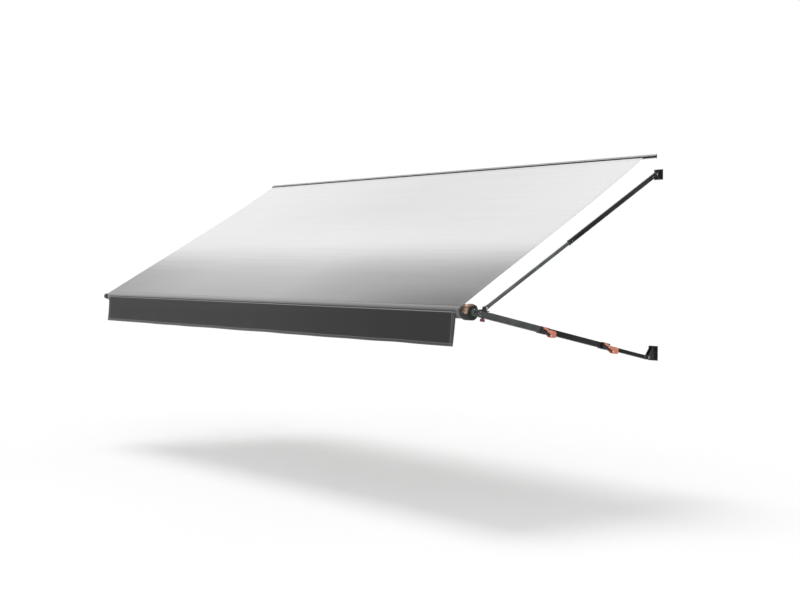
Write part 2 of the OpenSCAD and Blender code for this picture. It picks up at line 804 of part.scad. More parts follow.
module arm_head(side) {
  inner = upper_w - 2 * upper_wall - seat_gap;
  base = -upper_d / 2 + upper_wall + seat_gap / 2;
  color(dark_grey) on_side(side) on_arm() difference() {
    union() {
      translate([0, 0, arm_l]) rod(head_d, -upper_w / 2, upper_w / 2);
      along_c(upper_c1, arm_l) square([upper_w, upper_d], center = true);
      along_c(tongue_c, upper_c1) translate([-inner / 2, base]) square([inner, upper_d / 2 - base]);
    }
    translate([0, 0, arm_l]) rod(arbor_d + 2 * run_gap, -upper_w, upper_w);
  }
}

module head_cover(side) {
  face = upper_w / 2;
  rim = cover_t / 3;
  color(black) on_side(side) on_arm() translate([0, 0, arm_l]) {
    rod(cover_d, face, face + cover_t - rim);
    translate([face + cover_t - rim, 0, 0]) rotate([0, 90, 0])
      cylinder(d1 = cover_d, d2 = cover_d - 4 * rim, h = rim);
  }
}

// Clamps: a sleeve on the outer section whose nose closes on the inner one
module arm_clamp(side) {
  side_in = upper_w / 2 + seat_gap / 2;
  base = -upper_d / 2 - seat_gap / 2;
  height = upper_d / 2 - base;
  nose_in = mid_w / 2 + seat_gap;
  nose_base = mid_n0 - seat_gap;
  hinge_c = upper_c0 - clamp_nose + clamp_lead;
  color(black) on_side(side) on_arm() difference() {
    along_c(upper_c0 - clamp_nose, upper_c0 + clamp_hold)
      translate([-clamp_side, base - clamp_base]) square([2 * clamp_side, height + clamp_base]);
    along_c(upper_c0, upper_c0 + 2 * clamp_hold)
      translate([-side_in, base]) square([2 * side_in, upper_d + clamp_base]);
    along_c(upper_c0 - 2 * clamp_nose, upper_c0 + clamp_hold)
      translate([-nose_in, nose_base]) square([2 * nose_in, upper_d + clamp_base]);
    translate([0, 0, hinge_c]) rod(lever_pin_d + 2 * run_gap, -upper_w, upper_w);
  }
}

module leg_clamp(side) {
  fit = seat_gap / 2;
  mid_n = (mid_n0 + mid_n1) / 2;
  base = mid_n0 - fit - clamp_base;
  top = mid_n1 + fit + clamp_base;
  hinge_c = mid_c0 - clamp_nose + clamp_lead;
  color(black) on_side(side) on_arm() difference() {
    along_c(mid_c0 - clamp_nose, mid_c0 + clamp_hold)
      translate([-clamp_side, base]) square([2 * clamp_side, top - base]);
    along_c(mid_c0, mid_c0 + 2 * clamp_hold)
      translate([0, mid_n]) square([mid_w + 2 * fit, mid_d + 2 * fit], center = true);
    along_c(mid_c0 - 2 * clamp_nose, mid_c0 + clamp_hold)
      translate([0, leg_n]) square([leg_w + 2 * seat_gap, leg_d + 2 * seat_gap], center = true);
    translate([0, 0, hinge_c]) rod(lever_pin_d + 2 * run_gap, -upper_w, upper_w);
  }
}

// A yoke lever: two cheeks beside the arm and a grip below it, on short pins in the clamp
module yoke_lever(length, pin_in) {
  grip_n = -upper_d / 2 - grip_drop + grip_t / 2;
  eye_r = lever_eye_d / 2;
  thumb_n = upper_d / 2 - 1;
  for (s = [-1, 1]) on_side(s) {
    along_x(lever_in, lever_out) {
      circle(eye_r);
      polygon([
        [0, 0], [eye_r, 0], [thumb_n, thumb_l / 2],
        [thumb_n, thumb_l], [eye_r, thumb_l], [0, eye_r]
      ]);
      polygon([
        [eye_r, 0], [eye_r, -length + eye_r], [0, -length],
        [grip_n, -length], [grip_n, -length + grip_l], [-eye_r, -eye_r]
      ]);
    }
    rod(lever_pin_d, pin_in, lever_out);
  }
  along_x(-lever_out, lever_out) hull() {
    translate([grip_n, -length + grip_t / 2]) circle(d = grip_t, $fn = 32);
    translate([grip_n, -length + grip_l - grip_t / 2]) circle(d = grip_t, $fn = 32);
  }
}

module arm_clamp_lever(side) {
  color(orange) on_side(side) on_arm() translate([0, 0, upper_c0 - clamp_nose + clamp_lead])
    yoke_lever(arm_lever_l, mid_w / 2 + 2 * seat_gap);
}

module leg_clamp_lever(side) {
  color(orange) on_side(side) on_arm() translate([0, 0, mid_c0 - clamp_nose + clamp_lead])
    yoke_lever(leg_lever_l, leg_w / 2 + 2 * seat_gap);
}

module lock_knob(side) {
  lobes = 6;
  lobe_r = knob_d / 6;
  base = -upper_d / 2 - knob_boss_h - seat_gap;
  color(red) on_side(side) on_arm() translate([0, 0, knob_c]) rotate([90, 0, 0]) {
    translate([0, 0, -mid_n0 + seat_gap]) cylinder(d = knob_screw_d, h = mid_n0 - seat_gap - base);
    translate([0, 0, -base]) linear_extrude(knob_h) {
      circle(d = knob_d - 2 * lobe_r);
      for (i = [0 : lobes - 1]) rotate(i * 360 / lobes) translate([knob_d / 2 - lobe_r, 0]) circle(lobe_r);
    }
  }
}

// Rafter: a slider in the mid arm's slot, and two tubes from the wall to it
module rafter_slider(side) {
  foot_w = mid_w - 2 * mid_wall - 2 * slide_gap;
  stem_w = mid_slot - 4 * slide_gap;
  plate_n = upper_d / 2 + 2;
  boss_in = upper_w / 2 + slide_gap;
  color(dark_grey) on_side(side) on_arm() translate([0, 0, shoe_c]) {
    translate([-foot_w / 2, shoe_n0, -shoe_l / 2]) cube([foot_w, shoe_t, shoe_l]);
    translate([-stem_w / 2, shoe_n0, -tip_eye_d / 2])
      cube([stem_w, plate_n + shoe_plate_t - shoe_n0, tip_eye_d]);
    translate([-stem_w / 2, plate_n, -tip_eye_d / 2])
      cube([stem_w / 2 + shoe_out, shoe_plate_t, tip_eye_d + pivot_ahead]);
    along_x(boss_in, shoe_out) translate([0, pivot_ahead]) {
      translate([rafter_rise, 0]) circle(d = tip_eye_d);
      translate([plate_n, -tip_eye_d / 2]) square([rafter_rise - plate_n, tip_eye_d]);
    }
  }
}

module rafter_eye(side) {
  plug = [rafter_w - 2 * rafter_wall - seat_gap, rafter_d - 2 * rafter_wall - seat_gap];
  color(dark_grey) on_side(side) on_rafter() difference() {
    union() {
      rod(rafter_eye_d, -rafter_w / 2, rafter_w / 2);
      along_rafter(0, rafter_eye_l) square([rafter_w, rafter_eye_d], center = true);
      along_rafter(rafter_eye_l, rafter_eye_l + rafter_plug_l) square(plug, center = true);
    }
    rod(hinge_pin_d + 2 * run_gap, -rafter_w, rafter_w);
  }
}

module rafter_outer(side) {
  color(arm_grey) on_side(side) on_rafter() along_rafter(rafter_eye_l, rafter_c1)
    box_tube(rafter_w, rafter_d, rafter_wall);
}

module rafter_collar(side) {
  plug = [rafter_w - 2 * rafter_wall - seat_gap, rafter_d - 2 * rafter_wall - seat_gap];
  color(black) on_side(side) on_rafter() difference() {
    union() {
      along_rafter(rafter_c1 - rafter_plug_l, rafter_c1) square(plug, center = true);
      along_rafter(rafter_c1, rafter_c1 + collar_lip)
        round_rect(rafter_w, rafter_d + 2 * collar_proud, 2 * rafter_wall);
    }
    along_rafter(rafter_c1 - 2 * rafter_plug_l, rafter_c1 + 2 * collar_lip)
      square([inner_w + seat_gap, rafter_inner_d + 2 * seat_gap], center = true);
  }
}

// The inner tube ends in a guide that runs inside the outer one
module rafter_inner(side) {
  guide = [rafter_w - 2 * rafter_wall - 2 * seat_gap, rafter_d - 2 * rafter_wall - 2 * seat_gap];
  guide_c0 = inner_c0 - rafter_plug_l / 2;
  color(bare_metal) on_side(side) on_rafter() {
    along_rafter(guide_c0, inner_c1) box_tube(inner_w, rafter_inner_d, rafter_inner_wall);
    along_rafter(guide_c0, inner_c0) round_rect(guide[0], guide[1], rafter_wall);
  }
}

module rafter_tip(side) {
  plug = [inner_w, rafter_inner_d] - 2 * [rafter_inner_wall, rafter_inner_wall] - [seat_gap, seat_gap];
  color(dark_grey) on_side(side) on_rafter() difference() {
    union() {
      translate([0, 0, -rafter_l]) rod(tip_eye_d, -rafter_w / 2, rafter_w / 2);
      along_rafter(inner_c1, rafter_l) square([inner_w, rafter_inner_d], center = true);
      along_rafter(inner_c1 - rafter_plug_l, inner_c1) square(plug, center = true);
    }
    translate([0, 0, -rafter_l]) rod(tip_bolt_d + 2 * run_gap, -rafter_w, rafter_w);
  }
}

module rafter_tip_bolt(side) {
  face = rafter_w / 2;
  color(bare_metal) on_side(side) on_rafter() translate([0, 0, -rafter_l]) {
    rod(tip_bolt_d, -face, face);
    translate([face, 0, 0]) rotate([0, 90, 0]) cylinder(d = 2 * tip_bolt_d, h = tip_head_h, $fn = 6);
  }
}

wall_rail();
canopy_wall_bead();
canopy();
rafter_hinge_pins();
leg_hinge_pins();
roller_tube();
rolled_fabric();
canopy_roller_bead();
valance();
valance_piping();
roller_bushes();
ratchet_wheel();
lock_housing();
ratchet_lever();
roller_end_cap(1, cap_x);  // roller_end_cap_right
roller_end_cap(-1, arm_x - upper_w / 2 - stop_gap);  // roller_end_cap_left
spring_arbor(1);  // spring_arbor_right
spring_arbor(-1);  // spring_arbor_left
torsion_spring(1);  // torsion_spring_right
torsion_spring(-1);  // torsion_spring_left
upper_bracket(1);  // upper_bracket_right
upper_bracket(-1);  // upper_bracket_left
lower_bracket(1);  // lower_bracket_right
lower_bracket(-1);  // lower_bracket_left
leg_tube(1);  // leg_tube_right
leg_tube(-1);  // leg_tube_left
leg_foot(1);  // leg_foot_right
leg_foot(-1);  // leg_foot_left
mid_arm(1);  // mid_arm_right
mid_arm(-1);  // mid_arm_left
leg_clamp(1);  // leg_clamp_right
leg_clamp(-1);  // leg_clamp_left
leg_clamp_lever(1);  // leg_clamp_lever_right
leg_clamp_lever(-1);  // leg_clamp_lever_left
upper_arm(1);  // upper_arm_right
upper_arm(-1);  // upper_arm_left
arm_clamp(1);  // arm_clamp_right
arm_clamp(-1);  // arm_clamp_left
arm_clamp_lever(1);  // arm_clamp_lever_right
arm_clamp_lever(-1);  // arm_clamp_lever_left
arm_head(1);  // arm_head_right
arm_head(-1);  // arm_head_left
head_cover(1);  // head_cover_right
head_cover(-1);  // head_cover_left
lock_knob(1);  // lock_knob_right
lock_knob(-1);  // lock_knob_left
rafter_slider(1);  // rafter_slider_right
rafter_slider(-1);  // rafter_slider_left
rafter_eye(1);  // rafter_eye_right
rafter_eye(-1);  // rafter_eye_left
rafter_outer(1);  // rafter_outer_right
rafter_outer(-1);  // rafter_outer_left
rafter_collar(1);  // rafter_collar_right
rafter_collar(-1);  // rafter_collar_left
rafter_inner(1);  // rafter_inner_right
rafter_inner(-1);  // rafter_inner_left
rafter_tip(1);  // rafter_tip_right
rafter_tip(-1);  // rafter_tip_left
rafter_tip_bolt(1);  // rafter_tip_bolt_right
rafter_tip_bolt(-1);  // rafter_tip_bolt_left
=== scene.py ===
"""The looks of a roll out awning: printed cloth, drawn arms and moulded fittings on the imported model."""
import json
import math

import bmesh
import bpy
from mathutils import Matrix, Vector, noise


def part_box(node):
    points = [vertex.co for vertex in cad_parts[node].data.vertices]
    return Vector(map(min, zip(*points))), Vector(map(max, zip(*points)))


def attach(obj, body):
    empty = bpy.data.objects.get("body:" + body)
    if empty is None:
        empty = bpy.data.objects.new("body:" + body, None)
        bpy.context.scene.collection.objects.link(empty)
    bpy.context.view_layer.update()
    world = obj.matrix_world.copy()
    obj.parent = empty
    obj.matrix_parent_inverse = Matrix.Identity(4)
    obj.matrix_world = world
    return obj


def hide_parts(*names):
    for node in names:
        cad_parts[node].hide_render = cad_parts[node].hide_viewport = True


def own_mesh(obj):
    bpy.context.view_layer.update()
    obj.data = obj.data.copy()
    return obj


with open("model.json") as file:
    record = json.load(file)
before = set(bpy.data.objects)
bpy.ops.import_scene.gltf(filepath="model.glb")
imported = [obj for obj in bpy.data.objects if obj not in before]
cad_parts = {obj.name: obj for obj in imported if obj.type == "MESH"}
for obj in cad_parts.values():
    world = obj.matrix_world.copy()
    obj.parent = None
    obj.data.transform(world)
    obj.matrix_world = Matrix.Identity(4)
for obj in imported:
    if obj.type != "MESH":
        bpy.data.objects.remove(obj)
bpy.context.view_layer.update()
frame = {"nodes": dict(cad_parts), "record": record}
nodes = frame["nodes"]
riders = {n: body for body, names in frame["record"]["behaviour"]["bodies"].items() for n in names}
scene = bpy.context.scene
scene.view_settings.view_transform = "Standard"

# Camera, at the photograph's place: 54 mm on a 36 mm frame, at about eye height
camera = bpy.data.objects.new("camera", bpy.data.cameras.new("camera"))
camera.data.lens = 54.07
camera.data.clip_end = 300
camera.location = (8.7815, -8.0558, -0.8619)
camera.rotation_euler = (math.radians(90 - 1.81), 0, math.radians(48.82))
scene.collection.objects.link(camera)
scene.camera = camera


def middle(node):
    lo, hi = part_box(node)
    return (lo + hi) / 2


# Places in metres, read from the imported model
RAIL_BEAD = middle("canopy_wall_bead")
ROLLER = middle("roller_tube")
LEG_HINGE = middle("leg_hinge_pins")
RAFTER_HINGE = middle("rafter_hinge_pins")
ARM_X = middle("leg_tube_right").x
RAFTER_X = middle("rafter_outer_right").x
CANOPY_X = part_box("canopy")[1].x
VALANCE_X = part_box("valance")[1].x
ROLL_R = (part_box("rolled_fabric")[1].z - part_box("rolled_fabric")[0].z) / 2
ARM_SLOPE = math.atan2(ROLLER.z - LEG_HINGE.z, LEG_HINGE.y - ROLLER.y)
RAFTER_TIP = middle("rafter_tip_bolt_right")
RAFTER_SLOPE = math.atan2(RAFTER_HINGE.z - RAFTER_TIP.z, RAFTER_HINGE.y - RAFTER_TIP.y)

# The outer wrap's middle lies a little off the turns under it
WRAP_LIFT = 0.0009
WRAP_R = ROLL_R + WRAP_LIFT


def tangent(roller):
    """The canopy's straight run from the rail's bead to the top of a roll: its length, slope and direction."""
    span = math.hypot(RAIL_BEAD.y - roller.y, RAIL_BEAD.z - roller.z)
    pitch = math.atan2(RAIL_BEAD.z - roller.z, RAIL_BEAD.y - roller.y) - math.asin(WRAP_R / span)
    return math.sqrt(span ** 2 - WRAP_R ** 2), pitch, Vector((0, -math.cos(pitch), -math.sin(pitch)))


SHEET_L, PITCH, DOWN = tangent(ROLLER)
UP = Vector((0, -math.sin(PITCH), math.cos(PITCH)))
# On the roll's front, as angles above its axis: where the outer wrap ends, and the valance's top edge
SEAM = math.radians(11.33)
VALANCE_TOP = math.radians(4)
SIDES = ((1, "right"), (-1, "left"))


def arm_place(side):
    """From [across, up, along] on a main arm to the model's frame."""
    turn = Matrix.Rotation(math.pi / 2 - ARM_SLOPE, 4, "X")
    return Matrix.Translation((side * ARM_X, LEG_HINGE.y, LEG_HINGE.z)) @ turn


def rafter_place(side):
    """From [across, up, back] on a rafter to the model's frame."""
    turn = Matrix.Rotation(RAFTER_SLOPE - math.pi / 2, 4, "X")
    return Matrix.Translation((side * RAFTER_X, RAFTER_HINGE.y, RAFTER_HINGE.z)) @ turn


# Finishes. The sizes of their patterns are in metres on the real surface
DIE_PITCH, DIE_RUN = 0.0015, 0.7
SCUFFS_PER_METRE = 9
STREAK_RUN, STREAK_DEPTH = 0.55, 0.009
BAND_RUN, BAND_DEPTH = 1.6, 0.045
THREAD = 0.0024
STITCH_PITCH, STITCH_SHARE, STITCH_HALF = 0.008, 0.75, 0.0011
# The print's ramp goes on past the end of the cloth, because the streaks shift it
FADE_END = 1.2
# A wave texture at this scale repeats about once a unit
ONE_WAVE = 2 / math.tau
# A colour mix node's sockets: its two colours and its result
MIX_A, MIX_B, MIXED = 6, 7, 2


def linear(hex_colour):
    """An sRGB hex colour as linear RGBA."""
    parts = [int(hex_colour[i:i + 2], 16) / 255 for i in (1, 3, 5)]
    return [c / 12.92 if c <= 0.04045 else ((c + 0.055) / 1.055) ** 2.4 for c in parts] + [1]


def add(tree, kind, settings=None, values=None, links=None, stops=None):
    """One node with its settings, socket values, links from other sockets and colour stops."""
    made = tree.nodes.new(kind)
    for name, value in (settings or {}).items():
        setattr(made, name, value)
    for socket, value in (values or {}).items():
        made.inputs[socket].default_value = value
    for socket, source in (links or {}).items():
        tree.links.new(source, made.inputs[socket])
    for i, (place, colour) in enumerate(stops or []):
        mark = made.color_ramp.elements[i] if i < 2 else made.color_ramp.elements.new(place)
        mark.position = place
        mark.color = linear(colour)
    return made


def finish(name, roughness, **shader):
    """A new material, its tree, its shader and its coordinates."""
    made = bpy.data.materials.new(name)
    made.use_nodes = True
    tree = made.node_tree
    surface = tree.nodes["Principled BSDF"]
    surface.inputs["Roughness"].default_value = roughness
    for socket, value in shader.items():
        surface.inputs[socket.replace("_", " ")].default_value = value
    place = add(tree, "ShaderNodeTexCoord")
    return made, tree, surface, place


def worn_through(tree, tone, rub, bare):
    """Rounded edges, which ease marks, rubbed to a barer tone here and there."""
    edge = add(tree, "ShaderNodeAttribute", {"attribute_name": "worn_edge"})
    stretch = add(tree, "ShaderNodeMapRange", {"interpolation_type": "SMOOTHSTEP"},
                  {"From Min": 0.40, "From Max": 0.66, "To Max": 0.85}, {"Value": rub.outputs[0]})
    share = add(tree, "ShaderNodeMath", {"operation": "MULTIPLY"},
                links={0: edge.outputs["Fac"], 1: stretch.outputs[0]})
    return add(tree, "ShaderNodeMix", {"data_type": "RGBA"}, {MIX_B: linear(bare)},
               {0: share.outputs[0], MIX_A: tone.outputs[MIXED]})


def drawn_aluminium(name, colour, scuff, bare, lie, metallic, roughness):
    """Extruded aluminium: fine die lines run its length, and handling leaves soft lighter scuffs."""
    made, tree, surface, place = finish(name, roughness, Metallic=metallic, Specular_IOR_Level=0.15)
    turn, run = lie
    # Die lines about 1.5 mm apart and most of a metre long, drawn coarser than life so that they show
    along = add(tree, "ShaderNodeMapping", {"vector_type": "TEXTURE"},
                {"Rotation": turn, "Scale": run}, {"Vector": place.outputs["Object"]})
    lines = add(tree, "ShaderNodeTexNoise", values={"Scale": 1, "Detail": 3, "Roughness": 0.6},
                links={"Vector": along.outputs[0]})
    # Scuffs 60 to 150 mm across
    cloud = add(tree, "ShaderNodeTexNoise", values={"Scale": SCUFFS_PER_METRE, "Detail": 5, "Roughness": 0.65},
                links={"Vector": place.outputs["Object"]})
    worn = add(tree, "ShaderNodeMath", {"operation": "MULTIPLY"},
               links={0: lines.outputs[0], 1: cloud.outputs[0]})
    mask = add(tree, "ShaderNodeMapRange", {"interpolation_type": "SMOOTHSTEP"},
               {"From Min": 0.2, "From Max": 0.42}, {"Value": worn.outputs[0]})
    tone = add(tree, "ShaderNodeMix", {"data_type": "RGBA"},
               {MIX_A: linear(colour), MIX_B: linear(scuff)}, {0: mask.outputs[0]})
    tone = worn_through(tree, tone, cloud, bare)
    sheen = add(tree, "ShaderNodeMapRange", values={"To Min": roughness - 0.1, "To Max": roughness + 0.12},
                links={"Value": lines.outputs[0]})
    ridge = add(tree, "ShaderNodeBump", values={"Strength": 0.25, "Distance": 0.0004},
                links={"Height": lines.outputs[0]})
    tree.links.new(tone.outputs[MIXED], surface.inputs["Base Color"])
    tree.links.new(sheen.outputs[0], surface.inputs["Roughness"])
    tree.links.new(ridge.outputs[0], surface.inputs["Normal"])
    return made


def grained(name, colour, worn, bare, grain, depth, roughness, metallic=0.0, patch=14, share=0.5):
    """A moulded, cast or coated skin: even grain of the given size, and rubbed lighter patches."""
    made, tree, surface, place = finish(name, roughness, Metallic=metallic, Specular_IOR_Level=0.3)
    skin = add(tree, "ShaderNodeTexNoise", values={"Scale": 1 / grain, "Detail": 2, "Roughness": 0.55},
               links={"Vector": place.outputs["Object"]})
    rub = add(tree, "ShaderNodeTexNoise", values={"Scale": patch, "Detail": 6, "Roughness": 0.7},
              links={"Vector": place.outputs["Object"]})
    mask = add(tree, "ShaderNodeMapRange", {"interpolation_type": "SMOOTHSTEP"},
               {"From Min": share, "From Max": share + 0.25}, {"Value": rub.outputs[0]})
    tone = add(tree, "ShaderNodeMix", {"data_type": "RGBA"},
               {MIX_A: linear(colour), MIX_B: linear(worn)}, {0: mask.outputs[0]})
    tone = worn_through(tree, tone, rub, bare)
    sheen = add(tree, "ShaderNodeMapRange", values={"To Min": roughness + 0.1, "To Max": roughness - 0.12},
                links={"Value": rub.outputs[0]})
    dimple = add(tree, "ShaderNodeBump", values={"Strength": 0.3, "Distance": depth},
                 links={"Height": skin.outputs[0]})
    tree.links.new(tone.outputs[MIXED], surface.inputs["Base Color"])
    tree.links.new(sheen.outputs[0], surface.inputs["Roughness"])
    tree.links.new(dimple.outputs[0], surface.inputs["Normal"])
    return made


def coated_cloth(name, stops, flat, stitched, streak, gloss, painted_shade=(), side_hem=None):
    """Vinyl-coated polyester: a print that fades down the cloth in fine streaks, a weave under the
    coat, and lines of stitching. Places down the cloth are shares of its length. stops are (place,
    colour); stitched is (rows along the sides, rows across, thread colour), rows in metres from the
    cloth's edges; streak is how far the streaks shift the print; the darkenings after gloss are
    painted shade laid over the print, each with its strength as colours across the cloth and the
    places where it is none and full; side_hem is (width, colour, share) of the turned-in sides."""
    made, tree, surface, place = finish(name, gloss, Specular_IOR_Level=0.25)
    width, length = flat
    side_rows, cross_rows, thread_colour = stitched
    uv = add(tree, "ShaderNodeSeparateXYZ", links={0: place.outputs["UV"]})
    across, down = uv.outputs[0], uv.outputs[1]
    # Print streaks half a metre long and 9 mm deep, on bands five times deeper
    fine = add(tree, "ShaderNodeMapping", {"vector_type": "TEXTURE"},
               {"Scale": (STREAK_RUN / width, STREAK_DEPTH / length, 1)}, {"Vector": place.outputs["UV"]})
    fine_ink = add(tree, "ShaderNodeTexNoise", values={"Scale": 1, "Detail": 4, "Roughness": 0.65},
                   links={"Vector": fine.outputs[0]})
    broad = add(tree, "ShaderNodeMapping", {"vector_type": "TEXTURE"},
                {"Scale": (BAND_RUN / width, BAND_DEPTH / length, 1)}, {"Vector": place.outputs["UV"]})
    broad_ink = add(tree, "ShaderNodeTexNoise", values={"Scale": 1, "Detail": 3, "Roughness": 0.5},
                    links={"Vector": broad.outputs[0]})
    ink = add(tree, "ShaderNodeMath", {"operation": "ADD"},
              links={0: fine_ink.outputs[0], 1: broad_ink.outputs[0]})
    shift = add(tree, "ShaderNodeMath", {"operation": "MULTIPLY_ADD"}, {1: streak, 2: -streak},
                {0: ink.outputs[0]})
    fade = add(tree, "ShaderNodeMath", {"operation": "ADD"}, links={0: shift.outputs[0], 1: down})
    fade = add(tree, "ShaderNodeMath", {"operation": "DIVIDE"}, {1: FADE_END}, {0: fade.outputs[0]})
    print_tone = add(tree, "ShaderNodeValToRGB", links={0: fade.outputs[0]},
                     stops=[(at / FADE_END, colour) for at, colour in stops])
    grime = add(tree, "ShaderNodeMapRange",
                values={"From Min": 0.7, "From Max": 1.3, "To Min": 0.955, "To Max": 1.025},
                links={"Value": ink.outputs[0]})
    tone = add(tree, "ShaderNodeVectorMath", {"operation": "SCALE"},
               links={0: print_tone.outputs[0], "Scale": grime.outputs[0]})
    colour = tone.outputs[0]
    # Painted shade: each darkening scales the colour down by its strength across the cloth, faded in down it
    for strengths, none_at, full_at in painted_shade:
        strength = add(tree, "ShaderNodeValToRGB", links={0: across}, stops=strengths)
        reach = add(tree, "ShaderNodeMapRange", {"interpolation_type": "SMOOTHSTEP"},
                    {"From Min": min(none_at, full_at), "From Max": max(none_at, full_at),
                     "To Min": float(none_at > full_at), "To Max": float(none_at < full_at)}, {"Value": down})
        extra = add(tree, "ShaderNodeMath", {"operation": "MULTIPLY"},
                    links={0: strength.outputs[0], 1: reach.outputs[0]})
        left = add(tree, "ShaderNodeMath", {"operation": "SUBTRACT"}, {0: 1.0}, {1: extra.outputs[0]})
        colour = add(tree, "ShaderNodeVectorMath", {"operation": "SCALE"},
                     links={0: colour, "Scale": left.outputs[0]}).outputs[0]
    # Weave: threads both ways, drawn coarser than the real 0.6 mm so that close views show them
    weave = add(tree, "ShaderNodeMapping", {"vector_type": "TEXTURE"},
                {"Scale": (THREAD / width, THREAD / length, 1)}, {"Vector": place.outputs["UV"]})
    warp, weft = [add(tree, "ShaderNodeTexWave", {"bands_direction": way, "wave_profile": "SIN"},
                      {"Scale": ONE_WAVE, "Distortion": 0.3}, {"Vector": weave.outputs[0]})
                  for way in "XY"]
    height = add(tree, "ShaderNodeMath", {"operation": "MULTIPLY"},
                 links={0: warp.outputs[1], 1: weft.outputs[1]}).outputs[0]
    side_in = add(tree, "ShaderNodeMath", {"operation": "PINGPONG"}, {1: 0.5}, {0: across}).outputs[0]
    if side_hem:
        # The hem's inner edge is soft over a fifth of its width
        hem_width, hem_colour, hem_share = side_hem
        turned = add(tree, "ShaderNodeMapRange", {"interpolation_type": "SMOOTHSTEP"},
                     {"From Min": 0.9 * hem_width / width, "From Max": 1.1 * hem_width / width,
                      "To Min": hem_share, "To Max": 0.0}, {"Value": side_in})
        patchy = add(tree, "ShaderNodeMath", {"operation": "MULTIPLY"},
                     links={0: turned.outputs[0], 1: ink.outputs[0]})
        colour = add(tree, "ShaderNodeMix", {"data_type": "RGBA"}, {MIX_B: linear(hem_colour)},
                     {0: patchy.outputs[0], MIX_A: colour}).outputs[MIXED]
    # Stitches 6 mm long with 2 mm between, in rows beside the edges
    for edge_in, size, run, run_size, rows in ((side_in, width, down, length, side_rows),
                                               (down, length, across, width, cross_rows)):
        for row in rows:
            near = add(tree, "ShaderNodeMath", {"operation": "COMPARE"},
                       {1: row / size, 2: STITCH_HALF / size}, {0: edge_in})
            dash = add(tree, "ShaderNodeMath", {"operation": "MULTIPLY"},
                       {1: run_size / STITCH_PITCH}, {0: run})
            dash = add(tree, "ShaderNodeMath", {"operation": "FRACT"}, links={0: dash.outputs[0]})
            dash = add(tree, "ShaderNodeMath", {"operation": "LESS_THAN"},
                       {1: STITCH_SHARE}, {0: dash.outputs[0]})
            seam = add(tree, "ShaderNodeMath", {"operation": "MULTIPLY"},
                       links={0: near.outputs[0], 1: dash.outputs[0]})
            colour = add(tree, "ShaderNodeMix", {"data_type": "RGBA"}, {MIX_B: linear(thread_colour)},
                         {0: seam.outputs[0], MIX_A: colour}).outputs[MIXED]
            height = add(tree, "ShaderNodeMath", {"operation": "ADD"},
                         links={0: height, 1: seam.outputs[0]}).outputs[0]
    relief = add(tree, "ShaderNodeBump", values={"Strength": 0.2, "Distance": 0.0005},
                 links={"Height": height})
    sheen = add(tree, "ShaderNodeMapRange", values={"To Min": gloss - 0.08, "To Max": gloss + 0.1},
                links={"Value": broad_ink.outputs[0]})
    tree.links.new(colour, surface.inputs["Base Color"])
    tree.links.new(sheen.outputs[0], surface.inputs["Roughness"])
    tree.links.new(relief.outputs[0], surface.inputs["Normal"])
    return made


# Which way die lines lie: along the wall, along the main arms and along the rafters
LIE_X = ((0, 0, 0), (DIE_RUN, DIE_PITCH, DIE_PITCH))
LIE_ARM = ((math.pi / 2 - ARM_SLOPE, 0, 0), (DIE_PITCH, DIE_PITCH, DIE_RUN))
LIE_RAFTER = ((RAFTER_SLOPE - math.pi / 2, 0, 0), (DIE_PITCH, DIE_PITCH, DIE_RUN))
# Dark painted extrusion: near black with a soft sheen along it
RAIL_PAINT = drawn_aluminium("rail_dark_painted_aluminium", "#2e2f31", "#47494b", "#6d6f71", LIE_X,
                             metallic=0.2, roughness=0.45)
# The rail's wall flange is left bare behind the painted channel
RAIL_FLANGE = drawn_aluminium("rail_flange_mill_aluminium", "#b4b6b8", "#c6c8ca", "#d4d6d8", LIE_X,
                              metallic=0.9, roughness=0.36)
# Mill-finish aluminium straight from the die: bright, with fine long lines
MILL_TUBE = drawn_aluminium("roller_mill_aluminium", "#a2a5a7", "#b9bcbe", "#c6c9cb", LIE_X,
                            metallic=0.9, roughness=0.36)
# Grey powder coat on an extrusion: satin, faintly green
ARM_COAT = drawn_aluminium("arm_grey_coated_aluminium", "#434644", "#595d5a", "#878b88", LIE_ARM,
                           metallic=0.55, roughness=0.42)
# Dark anodised mid section
MID_COAT = drawn_aluminium("arm_dark_anodised_aluminium", "#151617", "#262829", "#505355", LIE_ARM,
                           metallic=0.6, roughness=0.4)
# Black anodised leg tube
LEG_COAT = drawn_aluminium("leg_black_anodised_aluminium", "#121213", "#222224", "#4a4c4e", LIE_ARM,
                           metallic=0.5, roughness=0.42)
# The rafter's outer tube is dark, its inner tube bare and satin
RAFTER_COAT = drawn_aluminium("rafter_dark_coated_aluminium", "#1b1d1e", "#2e3132", "#56595b", LIE_RAFTER,
                              metallic=0.5, roughness=0.42)
RAFTER_BARE = drawn_aluminium("rafter_satin_anodised_aluminium", "#535658", "#6b6e70", "#979a9d", LIE_RAFTER,
                              metallic=0.85, roughness=0.38)
# Die-cast aluminium under a dark coat: an uneven skin with a low sheen
CAST = grained("fitting_dark_coated_casting", "#3a3c3d", "#565a5a", "#8c8f91",
               grain=0.0030, depth=0.0006, roughness=0.5, metallic=0.35)
# The arm heads are cast under a lighter, greenish grey coat
HEAD_CAST = grained("head_grey_coated_casting", "#535c57", "#6c7671", "#959c98",
                    grain=0.0030, depth=0.0006, roughness=0.45, metallic=0.35)
# Black powder coat on pressed steel: orange peel about 2 mm across
BRACKET_COAT = grained("bracket_black_powder_coat", "#222224", "#3a3a3d", "#727477",
                       grain=0.0022, depth=0.0004, roughness=0.42, metallic=0.1)
